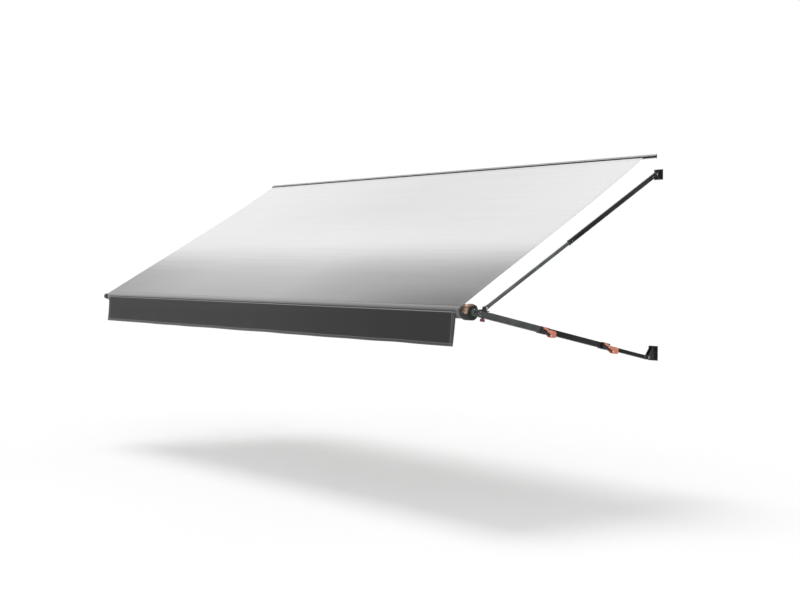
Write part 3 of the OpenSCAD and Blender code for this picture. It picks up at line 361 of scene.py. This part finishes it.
# Glass-filled nylon, moulded with a fine spark-eroded grain, drawn coarser than life at 0.9 mm
BLACK_NYLON = grained("fitting_black_nylon", "#1f1f21", "#343437", "#505055",
                      grain=0.0009, depth=0.0003, roughness=0.52)
ORANGE_NYLON = grained("lever_orange_nylon", "#d27f63", "#eeb09c", "#f6cdbd",
                       grain=0.0009, depth=0.0003, roughness=0.46)
RED_NYLON = grained("knob_red_nylon", "#7c3a3c", "#955658", "#b88082",
                    grain=0.0009, depth=0.0003, roughness=0.46)
# Zinc-plated steel: bright grey with a faint spangle
ZINC = grained("pin_zinc_plated_steel", "#909397", "#b2b5b9", "#cdd0d3",
               grain=0.004, depth=0.0002, roughness=0.34, metallic=0.95, patch=60, share=0.45)
# Yellow-passivated zinc: a warm coppery film that varies across the cover
YELLOW_ZINC = grained("lock_yellow_passivated_zinc", "#4f3526", "#b99a88", "#c9b2a4",
                      grain=0.0035, depth=0.0004, roughness=0.40, metallic=0.8, patch=30, share=0.42)
# Black oxide on steel screws: dark, with a low oily sheen
BLACK_OXIDE = grained("screw_black_oxide_steel", "#1d1d1f", "#303134", "#55575a",
                      grain=0.0006, depth=0.0002, roughness=0.4, metallic=0.6)
# Sintered bronze: dull, porous, oil-dark
BRONZE = grained("bush_sintered_bronze", "#8a6d3a", "#a98c53", "#bda270",
                 grain=0.0008, depth=0.0004, roughness=0.5, metallic=0.9, patch=40, share=0.45)
# Extruded PVC cord: smooth and near black
PVC = grained("bead_extruded_pvc", "#26272a", "#3a3b3e", "#4a4b4e",
              grain=0.0015, depth=0.0002, roughness=0.45)
# Printed vinyl: near white by the rail, fading in streaks to mid grey at the roll
CANOPY_FADE = [(0, "#ebebeb"), (0.48, "#e9e9e9"), (0.58, "#e6e6e6"), (0.66, "#d9d9d9"), (0.74, "#c9c9c9"),
               (0.82, "#bcbcbc"), (0.90, "#b6b6b6"), (1.0, "#acacac"), (1.1, "#9a9a9a")]
# Painted shade over the print: the ends come out darker than the middle, most of all low on the right, and the
# upper middle takes a thin grey
CANOPY_PAINTED_SHADE = [
    ([(0, "#848484"), (0.26, "#000000"), (0.55, "#1c1c1c"), (0.7, "#767676"), (0.9, "#9a9a9a"),
      (1, "#aaaaaa")], 0.58, 0.86),
    ([(0, "#000000"), (0.1, "#1c1c1c"), (0.3, "#434343"), (0.55, "#616161"), (0.75, "#5c5c5c"),
      (1, "#393939")], 0.60, 0.26),
    ([(0.74, "#000000"), (0.9, "#929292"), (1, "#a4a4a4")], 0.84, 1.0),
    ([(0.5, "#000000"), (0.75, "#3a3a3a"), (1, "#424242")], 0.28, 0.46),
]
# The canopy's side hems, the stitch rows in them, the rows below the rail and the thread
CANOPY_HEM = 0.033
HEM_ROWS = [0.006, 0.030]
RAIL_ROWS = [0.035, 0.041]
PALE_THREAD = "#b9b9b6"
CANOPY_PRINT_AND_SHADE = coated_cloth("canopy_printed_vinyl_painted_shade", CANOPY_FADE, (2 * CANOPY_X, SHEET_L),
                            (HEM_ROWS, RAIL_ROWS, PALE_THREAD), streak=0.14, gloss=0.55,
                            painted_shade=CANOPY_PAINTED_SHADE)
# The same vinyl without print on its underside
CANOPY_BACK = coated_cloth("canopy_plain_vinyl_back", [(0, "#dededc"), (FADE_END, "#d2d2d0")],
                           (2 * CANOPY_X, SHEET_L), (HEM_ROWS, RAIL_ROWS[:1], PALE_THREAD),
                           streak=0.09, gloss=0.6)


# Pieces. Edges flatter than the first angle shade smooth, and edges sharper than the second are rounded
SMOOTH_BELOW, ROUND_ABOVE = math.radians(32), math.radians(40)
# A domed head's outline, as shares of its radius and height
DOME = [(1, 0), (1, 0.35), (0.72, 0.85), (0, 1)]
DOME_STEPS = 14


def piece(name, bm, finishes, body, stands_for=()):
    """A finished mesh as an object that rides on a body."""
    for f in bm.faces:
        f.smooth = True
    for e in bm.edges:
        e.smooth = not (e.is_manifold and e.calc_face_angle() > SMOOTH_BELOW)
    mesh = bpy.data.meshes.new(name)
    bm.to_mesh(mesh)
    bm.free()
    if "custom_normal" in mesh.attributes:
        mesh.attributes.remove(mesh.attributes["custom_normal"])
    for one in finishes:
        mesh.materials.append(one)
    made = bpy.data.objects.new(name, mesh)
    scene.collection.objects.link(made)
    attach(made, body)
    if stands_for:
        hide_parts(*stands_for)
    return made


def merged(node):
    """A copy of a node's mesh with its triangles joined into flat faces."""
    bm = bmesh.new()
    bm.from_mesh(nodes[node].data)
    bmesh.ops.remove_doubles(bm, verts=bm.verts, dist=1e-5)
    bmesh.ops.dissolve_limit(bm, angle_limit=math.radians(0.5), verts=bm.verts, edges=bm.edges)
    return bm


def ease(bm, width):
    """Rounds every sharp edge, and marks the middle of each rounding."""
    worn = bm.verts.layers.float.new("worn_edge")
    sharp = [e for e in bm.edges if e.is_manifold and e.calc_face_angle() > ROUND_ABOVE]
    made = bmesh.ops.bevel(bm, geom=sharp, offset=width, offset_type="OFFSET", segments=2, profile=0.5,
                           affect="EDGES", clamp_overlap=True, material=-1)
    rounded = set(made["faces"])
    for v in made["verts"]:
        v[worn] = float(all(f in rounded for f in v.link_faces))


def rivet(bm, place, radius, height, shank=None):
    """A domed rivet or screw head on the place's own plane, its dome along +Z. shank is the radius
    and depth of what goes into the hole."""
    outline = [(radius * r, height * h) for r, h in DOME]
    if shank:
        outline = [(0, -shank[1]), (shank[0], -shank[1]), (shank[0], 0)] + outline
    points = [bm.verts.new((r, 0, h)) for r, h in outline]
    rim = [bm.edges.new(pair) for pair in zip(points, points[1:])]
    before = set(bm.verts) - set(points)
    bmesh.ops.spin(bm, geom=points + rim, cent=(0, 0, 0), axis=(0, 0, 1), angle=math.tau, steps=DOME_STEPS,
                   use_merge=True)
    new = [v for v in bm.verts if v not in before]
    bmesh.ops.remove_doubles(bm, verts=new, dist=1e-6)
    new = [v for v in bm.verts if v not in before]
    faces = list(dict.fromkeys(f for v in new for f in v.link_faces))
    bmesh.ops.recalc_face_normals(bm, faces=faces)
    bmesh.ops.transform(bm, matrix=place, verts=new)


def block(bm, place, size, round_by):
    """A block with rounded edges, added to a piece."""
    made = bmesh.ops.create_cube(bm, size=1, matrix=place @ Matrix.Diagonal((*size, 1)))
    edges = list(dict.fromkeys(e for v in made["verts"] for e in v.link_edges))
    bmesh.ops.bevel(bm, geom=edges, offset=round_by, offset_type="OFFSET", segments=2, profile=0.5,
                    affect="EDGES", material=-1)


def cloth(columns, rows, thick_at, place):
    """A sheet of quads with its own UV map: place(across, down) puts each station of the flat cloth."""
    bm = bmesh.new()
    uv = bm.loops.layers.uv.new("cloth")
    weight = bm.verts.layers.deform.verify()
    last_column, last_row = len(columns) - 1, len(rows) - 1
    bmesh.ops.create_grid(bm, x_segments=last_column, y_segments=last_row, size=0.5)
    at = {v: (columns[round((v.co.x + 0.5) * last_column)], rows[round((v.co.y + 0.5) * last_row)])
          for v in bm.verts}
    for f in bm.faces:
        for corner in f.loops:
            x, s = at[corner.vert]
            corner[uv].uv = ((x - columns[0]) / (columns[-1] - columns[0]), s / rows[-1])
    for v, (x, s) in at.items():
        v.co = place(x, s)
        v[weight][0] = 1.0 if thick_at(x, s) else 0.0
    bmesh.ops.reverse_faces(bm, faces=bm.faces)
    return bm


def thicken(made, thickest, share):
    """Cloth thickness: the full one at hems, a share of it elsewhere. The back takes the last finish."""
    made.vertex_groups.new(name="hem")
    wall = made.modifiers.new("thickness", "SOLIDIFY")
    wall.thickness = thickest
    wall.offset = 0
    wall.vertex_group = "hem"
    wall.thickness_vertex_group = share
    wall.use_even_offset = True
    wall.material_offset = len(made.data.materials) - 1


def stations(start, end, edges, step):
    """Places from start to end: the given distances in from each end, and even steps between."""
    inner = end - start - 2 * edges[-1]
    count = max(1, round(inner / step))
    return ([start + e for e in edges[:-1]]
            + [start + edges[-1] + inner * i / count for i in range(count + 1)]
            + [end - e for e in reversed(edges[:-1])])


# Canopy: one stretched sheet that sags between the rail and the roll, creased from its four corners.
# It leaves the roll at a tangent, so that it stays outside the roll when the awning shuts
# How far it sags at its lowest line, a third of the way down
SAG = 0.020
# The sag follows t * (1 - t) ** 2, which is 4 / 27 there
SAG_PEAK = 27 / 4
# Heights of long ripples, fine ripples and creases, and how far each side draws in
RIPPLE, FINE_RIPPLE, CREASE, NECK = 0.0022, 0.0009, 0.0028, 0.006
# How far a crease takes to rise, and to die away
CREASE_RISE, CREASE_RUN = 0.25, 0.55


def canopy_point(x, s):
    t = s / SHEET_L
    lift = -SAG_PEAK * SAG * t * (1 - t) ** 2 * (1 - 0.2 * (x / CANOPY_X) ** 4)
    held = math.sin(math.pi * t) ** 0.6 * (1 - t) ** 0.6
    lift += RIPPLE * held * noise.noise(Vector((x * 0.9, s * 1.3, 4.0)))
    lift += FINE_RIPPLE * held * noise.noise(Vector((x * 0.6, s * 9.0, 9.0)))
    for corner_x in (-CANOPY_X, CANOPY_X):
        for corner_s in (0, SHEET_L):
            dx, ds = abs(x - corner_x), abs(s - corner_s)
            far = math.hypot(dx, ds)
            fan = math.sin(15 * math.atan2(ds, dx + 1e-6))
            lift += CREASE * fan * min(far / CREASE_RISE, 1) * math.exp(-far / CREASE_RUN) * held
    neck = NECK * math.sin(math.pi * t) * (x / CANOPY_X) ** 9
    return Vector((x - neck, RAIL_BEAD.y, RAIL_BEAD.z)) + s * DOWN + lift * UP


canopy_columns = stations(-CANOPY_X, CANOPY_X, [0, 0.003, CANOPY_HEM, CANOPY_HEM + 0.003], step=0.055)
canopy_rows = stations(0.0, SHEET_L, [0, 0.012], step=0.05)
canopy = piece("canopy_sheet", cloth(canopy_columns, canopy_rows,
                                     lambda x, s: abs(x) > CANOPY_X - CANOPY_HEM - 0.0005, canopy_point),
               [CANOPY_PRINT_AND_SHADE, CANOPY_BACK], "wall", ["canopy"])
thicken(canopy, thickest=0.0024, share=0.5)
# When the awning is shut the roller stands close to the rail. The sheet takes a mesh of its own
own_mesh(canopy)

# Turns of canopy that stay on the roller: the outer wrap down to the seam, a step in, then three turns inwards
FRONT = math.pi / 2 - PITCH
WRAP = (FRONT - SEAM) * WRAP_R
SEAM_STEP = 0.010
# Radius of the turns' middle, outermost and innermost
TURNS_R = (ROLL_R - 0.0006, ROLL_R - 0.0042)
TURNS = 3 * math.tau
TURNS_L = WRAP + SEAM_STEP + TURNS * sum(TURNS_R) / 2
# The turns don't lie quite edge to edge: the share of the width they differ by
EDGE_SHIFT = 0.0009
WRAP_ROWS, TURN_ROWS = 10, 126


def turn_point(x, s):
    if s < WRAP:
        angle, r = FRONT - s / WRAP_R, WRAP_R
    else:
        angle = SEAM - (s - WRAP) / WRAP_R
        drop = min((s - WRAP) / SEAM_STEP, 1)
        part = min(max((s - WRAP - SEAM_STEP) / (TURNS_L - WRAP - SEAM_STEP), 0), 1)
        r = WRAP_R + (TURNS_R[0] - WRAP_R) * drop + (TURNS_R[1] - TURNS_R[0]) * part
    x *= 1 - EDGE_SHIFT * (0.5 + noise.noise(Vector((s * 7, 3.0, 1.0)))) * (s > WRAP)
    return ROLLER + Vector((x, -r * math.cos(angle), r * math.sin(angle)))


# The same printed vinyl: its fade goes on round the roll, and painted shade darkens it towards the right and
# down the roll's front
TURN_FADE_AND_SHADE = [(0, "#aaaaaa"), (0.022, "#a2a2a2"), (0.04, "#969696"), (FADE_END, "#828282")]
TURN_PAINTED_SHADE = [([(0.5, "#000000"), (0.9, "#929292"), (1, "#a2a2a2")], -0.02, -0.01),
              ([(0, "#000000"), (0.3, "#6c6c6c"), (0.7, "#8e8e8e"), (1, "#8e8e8e")], 0.018, 0.04)]
TURN_PRINT_AND_SHADE = coated_cloth("roll_printed_vinyl_painted_shade", TURN_FADE_AND_SHADE, (2 * CANOPY_X, TURNS_L),
                          (HEM_ROWS, [], PALE_THREAD), streak=0.02, gloss=0.55, painted_shade=TURN_PAINTED_SHADE)
turn_columns = stations(-CANOPY_X, CANOPY_X, [0, CANOPY_HEM], step=0.26)
turn_rows = ([WRAP * i / WRAP_ROWS for i in range(WRAP_ROWS)]
             + [WRAP + (TURNS_L - WRAP) * i / TURN_ROWS for i in range(TURN_ROWS + 1)])
turns = piece("canopy_turns_on_roller", cloth(turn_columns, turn_rows, lambda x, s: False, turn_point),
              [TURN_PRINT_AND_SHADE], "roller", ["rolled_fabric"])
thicken(turns, thickest=0.0011, share=1.0)

# Valance: hangs from its top edge on the roll, waves a little and ends in a hem
HANG_LIFT = 0.0010
HANG_R = ROLL_R + HANG_LIFT
VALANCE_BEND = VALANCE_TOP * HANG_R
VALANCE_L = VALANCE_BEND + ROLLER.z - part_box("valance")[0].z
# Its bottom hem's height and its side hems' width
HEM = 0.024
SIDE_HEM = 0.042
# At the bottom edge: height of its waves, how far it stands out and up, how unevenly it hangs
WAVE, STAND_OUT, STAND_UP, UNEVEN = 0.0050, 0.0020, 0.002, 0.0040
# How far the bottom corners move sideways, and where along the valance's half each one starts
CORNER_SHIFT, LEFT_FROM, RIGHT_FROM = 0.026, 0.985, 0.92


def valance_point(x, s):
    if s < VALANCE_BEND:
        angle = VALANCE_TOP - s / HANG_R
        return ROLLER + Vector((x, -HANG_R * math.cos(angle), HANG_R * math.sin(angle)))
    free = (s - VALANCE_BEND) / (VALANCE_L - VALANCE_BEND)
    wave = (0.5 * math.sin(x * 7.6 + 1.3) + 0.3 * math.sin(x * 15.3 + 0.4)
            + 1.1 * noise.noise(Vector((x * 1.7, 0.3, 2.0))))
    out = WAVE * free ** 1.6 * wave + STAND_OUT * free
    rise = UNEVEN * free * noise.noise(Vector((x * 2.3, 5.0, 0.0)))
    # The left bottom corner curls outwards, and the right end leans in towards its bottom
    if x < 0:
        x -= CORNER_SHIFT * max(0, (-x / VALANCE_X - LEFT_FROM) / (1 - LEFT_FROM)) ** 1.5 * free ** 2.4
    else:
        x -= CORNER_SHIFT * max(0, (x / VALANCE_X - RIGHT_FROM) / (1 - RIGHT_FROM)) ** 1.5 * free ** 1.3
    return ROLLER + Vector((x, -HANG_R - out, -(s - VALANCE_BEND) + rise + STAND_UP * free))


# Dark vinyl: a pale strip at its top edge, and a rubbed, lighter hem
VALANCE_FADE = [(0, "#9c9c9c"), (0.022, "#9c9c9c"), (0.026, "#3c3c3c"), (0.5, "#383838"),
                (0.902, "#3a3a3a"), (0.908, "#5d5d5d"), (FADE_END, "#686868")]
# Painted shade: darker towards the valance's right end, below its pale top strip
VALANCE_PAINTED_SHADE = [([(0, "#000000"), (0.5, "#000000"), (0.85, "#a2a2a2"), (1, "#a8a8a8")], 0.02, 0.05)]
# Stitched down its side hems, below its top edge and along both edges of its bottom hem
VALANCE_VINYL_AND_SHADE = coated_cloth("valance_dark_vinyl_painted_shade", VALANCE_FADE, (2 * VALANCE_X, VALANCE_L),
                             ([SIDE_HEM - 0.004], [0.006, VALANCE_L - 0.021, VALANCE_L - 0.004], "#868686"),
                             streak=0.003, gloss=0.6, painted_shade=VALANCE_PAINTED_SHADE, side_hem=(SIDE_HEM, "#6a6a6a", 0.26))
valance_columns = stations(-VALANCE_X, VALANCE_X, [0, 0.002, SIDE_HEM - 0.001, SIDE_HEM + 0.001],
                           step=0.035)
valance_rows = ([0, VALANCE_BEND / 2]
                + stations(VALANCE_BEND, VALANCE_L, [0, 0.003, HEM - 0.001, HEM + 0.001], step=0.018))
valance = piece("valance_sheet",
                cloth(valance_columns, valance_rows,
                      lambda x, s: s > VALANCE_L - HEM or abs(x) > VALANCE_X - SIDE_HEM or s <= VALANCE_BEND,
                      valance_point),
                [VALANCE_VINYL_AND_SHADE], "roller", ["valance"])
thicken(valance, thickest=0.0028, share=0.5)

# Rigid nodes: each keeps its shape, with its edges rounded by the given width as the real part's are
EASED = {
    "wall_rail": (RAIL_PAINT, 0.0005), "lock_housing": (BLACK_NYLON, 0.0015),
    "ratchet_lever": (ORANGE_NYLON, 0.0009), "roller_end_cap": (BLACK_NYLON, 0.0015),
    "upper_bracket": (BRACKET_COAT, 0.0012),
    "lower_bracket": (BRACKET_COAT, 0.0012), "leg_tube": (LEG_COAT, 0.0005), "leg_foot": (CAST, 0.0010),
    "mid_arm": (MID_COAT, 0.0005), "leg_clamp": (BLACK_NYLON, 0.0010), "upper_arm": (ARM_COAT, 0.0005),
    "arm_clamp": (BLACK_NYLON, 0.0010), "arm_head": (HEAD_CAST, 0.0015), "head_cover": (BLACK_NYLON, 0.0010),
    "lock_knob": (RED_NYLON, 0.0012), "rafter_slider": (CAST, 0.0010), "rafter_eye": (CAST, 0.0012),
    "rafter_outer": (RAFTER_COAT, 0.0004), "rafter_collar": (BLACK_NYLON, 0.0010),
    "rafter_inner": (RAFTER_BARE, 0.0004), "rafter_tip": (CAST, 0.0010), "rafter_tip_bolt": (ZINC, 0.0006),
    "leg_hinge_pins": (ZINC, 0.0008), "rafter_hinge_pins": (ZINC, 0.0008),
}
# Cords and inner parts keep their meshes and take a finish
KEPT = {"canopy_wall_bead": PVC, "canopy_roller_bead": PVC, "valance_piping": PVC, "roller_tube": MILL_TUBE,
        "roller_bushes": BRONZE, "ratchet_wheel": ZINC, "spring_arbor": ZINC, "torsion_spring": ZINC}
# Thickness of the rail's wall flange, and how far past it a face still counts as flange
FLANGE, FLANGE_REACH = 0.003, 0.0001
for node in nodes:
    kind = node.removesuffix("_right").removesuffix("_left")
    if kind in EASED:
        coat, width = EASED[kind]
        bm = merged(node)
        ease(bm, width)
        coats = [coat]
        if kind == "wall_rail":
            coats = [coat, RAIL_FLANGE]
            for f in bm.faces:
                f.material_index = int(f.calc_center_median().y > -FLANGE - FLANGE_REACH)
        piece(node + "_eased", bm, coats, riders[node], [node])
    elif kind in KEPT:
        for holder in nodes[node].material_slots:
            holder.material = KEPT[kind]

# Heads on a fitting's two sides, right and left, and the sizes of those heads: radius and height
TURN_RIGHT = Matrix.Rotation(math.pi / 2, 4, "Y")
TURN_LEFT = Matrix.Rotation(-math.pi / 2, 4, "Y")
WAYS = ((1, TURN_RIGHT), (-1, TURN_LEFT))
PIN_END, HEAD_RIVET, COVER_SCREW = (0.0055, 0.0018), (0.0050, 0.0022), (0.0038, 0.0018)
FOOT_RIVET, RAFTER_RIVET = (0.0045, 0.0020), (0.0042, 0.0018)

# Clamp levers: sunk cheeks, ribs under the grip and plated pin ends
CHEEK_RIM, CHEEK_SINK = 0.0026, 0.0010
RIB_SIZE, RIB_PITCH, RIB_START, RIBS = (0.050, 0.0020, 0.0018), 0.004, 0.006, 5
# How far a rib's middle lies below the grip, and how wide ribs and levers are rounded
RIB_BELOW, RIB_ROUND, LEVER_ROUND = 0.0002, 0.0005, 0.0007
# Each lever's hinge, above the end of its grip
LEVER_HINGE = {"arm_clamp_lever": 0.088, "leg_clamp_lever": 0.115}
for side, end in SIDES:
    for kind, hinge in LEVER_HINGE.items():
        node = f"{kind}_{end}"
        place = arm_place(side)
        local = [place.inverted() @ v.co for v in nodes[node].data.vertices]
        foot, under, wide = min(p.z for p in local), min(p.y for p in local), max(p.x for p in local)
        bm = merged(node)
        cheeks = [f for f in bm.faces if abs(f.normal.x) > 0.99
                  and abs(abs(f.calc_center_median().x - side * ARM_X) - wide) < 0.0004]
        bmesh.ops.inset_individual(bm, faces=cheeks, thickness=CHEEK_RIM, depth=-CHEEK_SINK)
        ease(bm, LEVER_ROUND)
        for i in range(RIBS):
            block(bm, place @ Matrix.Translation((0, under - RIB_BELOW, foot + RIB_START + RIB_PITCH * i)),
                  RIB_SIZE, RIB_ROUND)
        piece(node + "_moulded", bm, [ORANGE_NYLON], riders[node], [node])
        pins = bmesh.new()
        for way, turned in reversed(WAYS):
            rivet(pins, place @ Matrix.Translation((way * (wide - CHEEK_SINK), 0, foot + hinge)) @ turned,
                  *PIN_END)
        piece(f"{kind}_pin_ends_{end}", pins, [ZINC], riders[node])

# Rivets and screws that join tubes to their castings.
# They stand out from the middle by half the width of the upper arm, the head's cover, the foot and the rafter
ARM_HALF, COVER_HALF, FOOT_HALF, RAFTER_HALF = 0.020, 0.026, 0.014, 0.010
ARM_L = (ROLLER - Vector((0, LEG_HINGE.y, LEG_HINGE.z))).length
# The cover's three screws stand on this radius, turned by this angle
COVER_SCREW_R, COVER_SCREW_TURN = 0.0150, 0.4
# The head's rivets: back from the roller's axis, and off the arm's middle
HEAD_RIVET_BACK, HEAD_RIVET_OFF = 0.041, 0.012
# The foot's rivets: up and along from the leg's hinge
FOOT_RIVET_UP, FOOT_RIVET_ALONG = -0.0029, 0.048
# The rafter's rivets: out from its hinge, and one back from its collar's middle
RAFTER_RIVETS, COLLAR_RIVET_BACK = (0.044, 0.058), 0.010
for side, end in SIDES:
    arm, rafter = arm_place(side), rafter_place(side)
    outward = TURN_RIGHT if side > 0 else TURN_LEFT
    heads = bmesh.new()
    for n in (-HEAD_RIVET_OFF, HEAD_RIVET_OFF):
        for way, turned in WAYS:
            spot = Matrix.Translation((way * ARM_HALF, n, ARM_L - HEAD_RIVET_BACK))
            rivet(heads, arm @ spot @ turned, *HEAD_RIVET)
    for i in range(3):
        angle = math.tau * i / 3 + COVER_SCREW_TURN
        spot = Matrix.Translation((side * COVER_HALF, COVER_SCREW_R * math.cos(angle),
                                   ARM_L + COVER_SCREW_R * math.sin(angle)))
        rivet(heads, arm @ spot @ outward, *COVER_SCREW)
    piece(f"arm_head_rivets_{end}", heads, [ZINC], f"upper_{end}")
    foot = bmesh.new()
    for way, turned in WAYS:
        spot = Matrix.Translation((way * FOOT_HALF, FOOT_RIVET_UP, FOOT_RIVET_ALONG))
        rivet(foot, arm @ spot @ turned, *FOOT_RIVET)
    piece(f"leg_foot_rivets_{end}", foot, [ZINC], f"leg_{end}")
    tube = bmesh.new()
    collar = middle(f"rafter_collar_{end}")
    collar_c = math.hypot(RAFTER_HINGE.y - collar.y, RAFTER_HINGE.z - collar.z)
    for c in (*RAFTER_RIVETS, collar_c - COLLAR_RIVET_BACK):
        rivet(tube, rafter @ Matrix.Translation((side * RAFTER_HALF, 0, -c)) @ outward, *RAFTER_RIVET)
    piece(f"rafter_rivets_{end}", tube, [ZINC], f"rafter_{end}")

# Screws in the wall brackets and along the rail, their heads outwards
HEAD_OUT = Matrix.Rotation(math.pi / 2, 4, "X")
BRACKET_PLATE = 0.006
RAIL_SCREW_PITCH = 0.400
# Head radius, head height, then the shank's radius and depth
BRACKET_SCREW = (0.0075, 0.0040, (0.0040, BRACKET_PLATE))
RAIL_SCREW = (0.0044, 0.0020, (0.0024, FLANGE))
for mount in frame["record"]["mounts"]:
    if mount["name"].endswith("_bolts"):
        screws = bmesh.new()
        for i in (-0.5, 0.5):
            for j in (-0.5, 0.5):
                x = mount["pos_m"][0] + i * mount["dims"]["spacing_x_mm"] / 1000
                z = mount["pos_m"][2] + j * mount["dims"]["spacing_y_mm"] / 1000
                rivet(screws, Matrix.Translation((x, -BRACKET_PLATE, z)) @ HEAD_OUT, *BRACKET_SCREW)
        piece(mount["name"].removesuffix("_bolts") + "_screws", screws, [BLACK_OXIDE], "wall")
    elif mount["name"] == "rail_screws":
        screws = bmesh.new()
        count = round(mount["dims"]["spacing_x_mm"] / 1000 / RAIL_SCREW_PITCH)
        for i in range(count + 1):
            x = (i - count / 2) * RAIL_SCREW_PITCH
            rivet(screws, Matrix.Translation((x, -FLANGE, mount["pos_m"][2])) @ HEAD_OUT, *RAIL_SCREW)
        piece("wall_rail_screws", screws, [ZINC], "wall")

# Rail ends: black nylon plugs with a rounded face
rail_lo, rail_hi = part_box("wall_rail")
PLUG = 0.004
# The channel's end: its middle off the wall, its depth and its height
CHANNEL_Y, CHANNEL_DEEP, CHANNEL_HIGH = -0.0105, 0.019, 0.018
FLANGE_ROUND, CHANNEL_ROUND = 0.0008, 0.0018
for name, x in (("rail_plug_right", rail_hi.x + PLUG / 2), ("rail_plug_left", rail_lo.x - PLUG / 2)):
    bm = bmesh.new()
    block(bm, Matrix.Translation((x, -FLANGE / 2, (rail_lo.z + rail_hi.z) / 2)),
          (PLUG, FLANGE, rail_hi.z - rail_lo.z), FLANGE_ROUND)
    block(bm, Matrix.Translation((x, CHANNEL_Y, RAIL_BEAD.z)),
          (PLUG, CHANNEL_DEEP, CHANNEL_HIGH), CHANNEL_ROUND)
    piece(name, bm, [BLACK_NYLON], "wall")

# Lock drum: a ribbed, yellow-passivated shroud over its front and top, turned in over the arm end
drum_lo, drum_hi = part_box("lock_housing")
drum_r = (drum_hi.y - drum_lo.y) / 2
# Its section: along the drum from its outer end, and out from its skin
outline = [(-0.046, 0.0002), (-0.046, 0.0016), (-0.043, 0.0030), (-0.038, 0.0030), (-0.035, 0.0012),
           (-0.029, 0.0012), (-0.026, 0.0030), (-0.021, 0.0030), (-0.018, 0.0012), (-0.012, 0.0012),
           (-0.009, 0.0030), (-0.002, 0.0030), (0.0012, 0.0012), (0.0014, -0.0120), (0.0002, -0.0120),
           (0.0002, 0.0002)]
# It starts a little below the drum's front and goes over its top
SHROUD_START, SHROUD_SWEEP = math.radians(-8), math.radians(-106)
bm = bmesh.new()
rim = [bm.verts.new((drum_hi.x + x, ROLLER.y - (drum_r + r) * math.cos(SHROUD_START),
                     ROLLER.z + (drum_r + r) * math.sin(SHROUD_START))) for x, r in outline]
edges = [bm.edges.new(pair) for pair in zip(rim, rim[1:] + rim[:1])]
swept = bmesh.ops.spin(bm, geom=rim + edges, cent=ROLLER, axis=(1, 0, 0), angle=SHROUD_SWEEP, steps=24)
for loop in (edges, [e for e in swept["geom_last"] if isinstance(e, bmesh.types.BMEdge)]):
    bmesh.ops.contextual_create(bm, geom=loop)
bmesh.ops.recalc_face_normals(bm, faces=bm.faces)
piece("lock_drum_shroud", bm, [YELLOW_ZINC], "upper_right")

# Stage: a white floor under the awning, an open white sky and one soft sun
FLOOR_Z, FLOOR_HALF = -2.70, 120
bm = bmesh.new()
bmesh.ops.create_grid(bm, x_segments=2, y_segments=2, size=FLOOR_HALF,
                      matrix=Matrix.Translation((0, 0, FLOOR_Z)))
floor_mesh = bpy.data.meshes.new("floor")
bm.to_mesh(floor_mesh)
bm.free()
floor = bpy.data.objects.new("floor", floor_mesh)
scene.collection.objects.link(floor)
# Matt white paint, faintly uneven over patches of two to three metres
pale, tree, surface, place = finish("floor_white_paint", 0.9, IOR=1.2)
mottle = add(tree, "ShaderNodeTexNoise", values={"Scale": 0.4, "Detail": 2},
             links={"Vector": place.outputs["Object"]})
tone = add(tree, "ShaderNodeMix", {"data_type": "RGBA"},
           {MIX_A: linear("#fafafa"), MIX_B: linear("#fdfdfd")}, {0: mottle.outputs[0]})
tree.links.new(tone.outputs[MIXED], surface.inputs["Base Color"])
floor_mesh.materials.append(pale)
# The sky is full white where it is seen, and dimmer as a light
SKY_LIGHT = 0.76
world = bpy.data.worlds.new("white_sky")
world.use_nodes = True
scene.world = world
tree = world.node_tree
ray = add(tree, "ShaderNodeLightPath")
seen = add(tree, "ShaderNodeMath", {"operation": "MAXIMUM"},
           links={0: ray.outputs["Is Camera Ray"], 1: ray.outputs["Is Glossy Ray"]})
seen = add(tree, "ShaderNodeMath", {"operation": "MAXIMUM"},
           links={0: seen.outputs[0], 1: ray.outputs["Is Transmission Ray"]})
level = add(tree, "ShaderNodeMapRange", values={"To Min": SKY_LIGHT, "To Max": 1.0},
            links={"Value": seen.outputs[0]})
tree.links.new(level.outputs[0], tree.nodes["Background"].inputs["Strength"])
tree.nodes["Background"].inputs["Color"].default_value = (1, 1, 1, 1)
sun = bpy.data.objects.new("soft_sun", bpy.data.lights.new("soft_sun", "SUN"))
sun.data.energy = 1.0
sun.data.angle = math.radians(24)
sun.rotation_euler = (math.radians(-7), math.radians(-25), 0)
scene.collection.objects.link(sun)
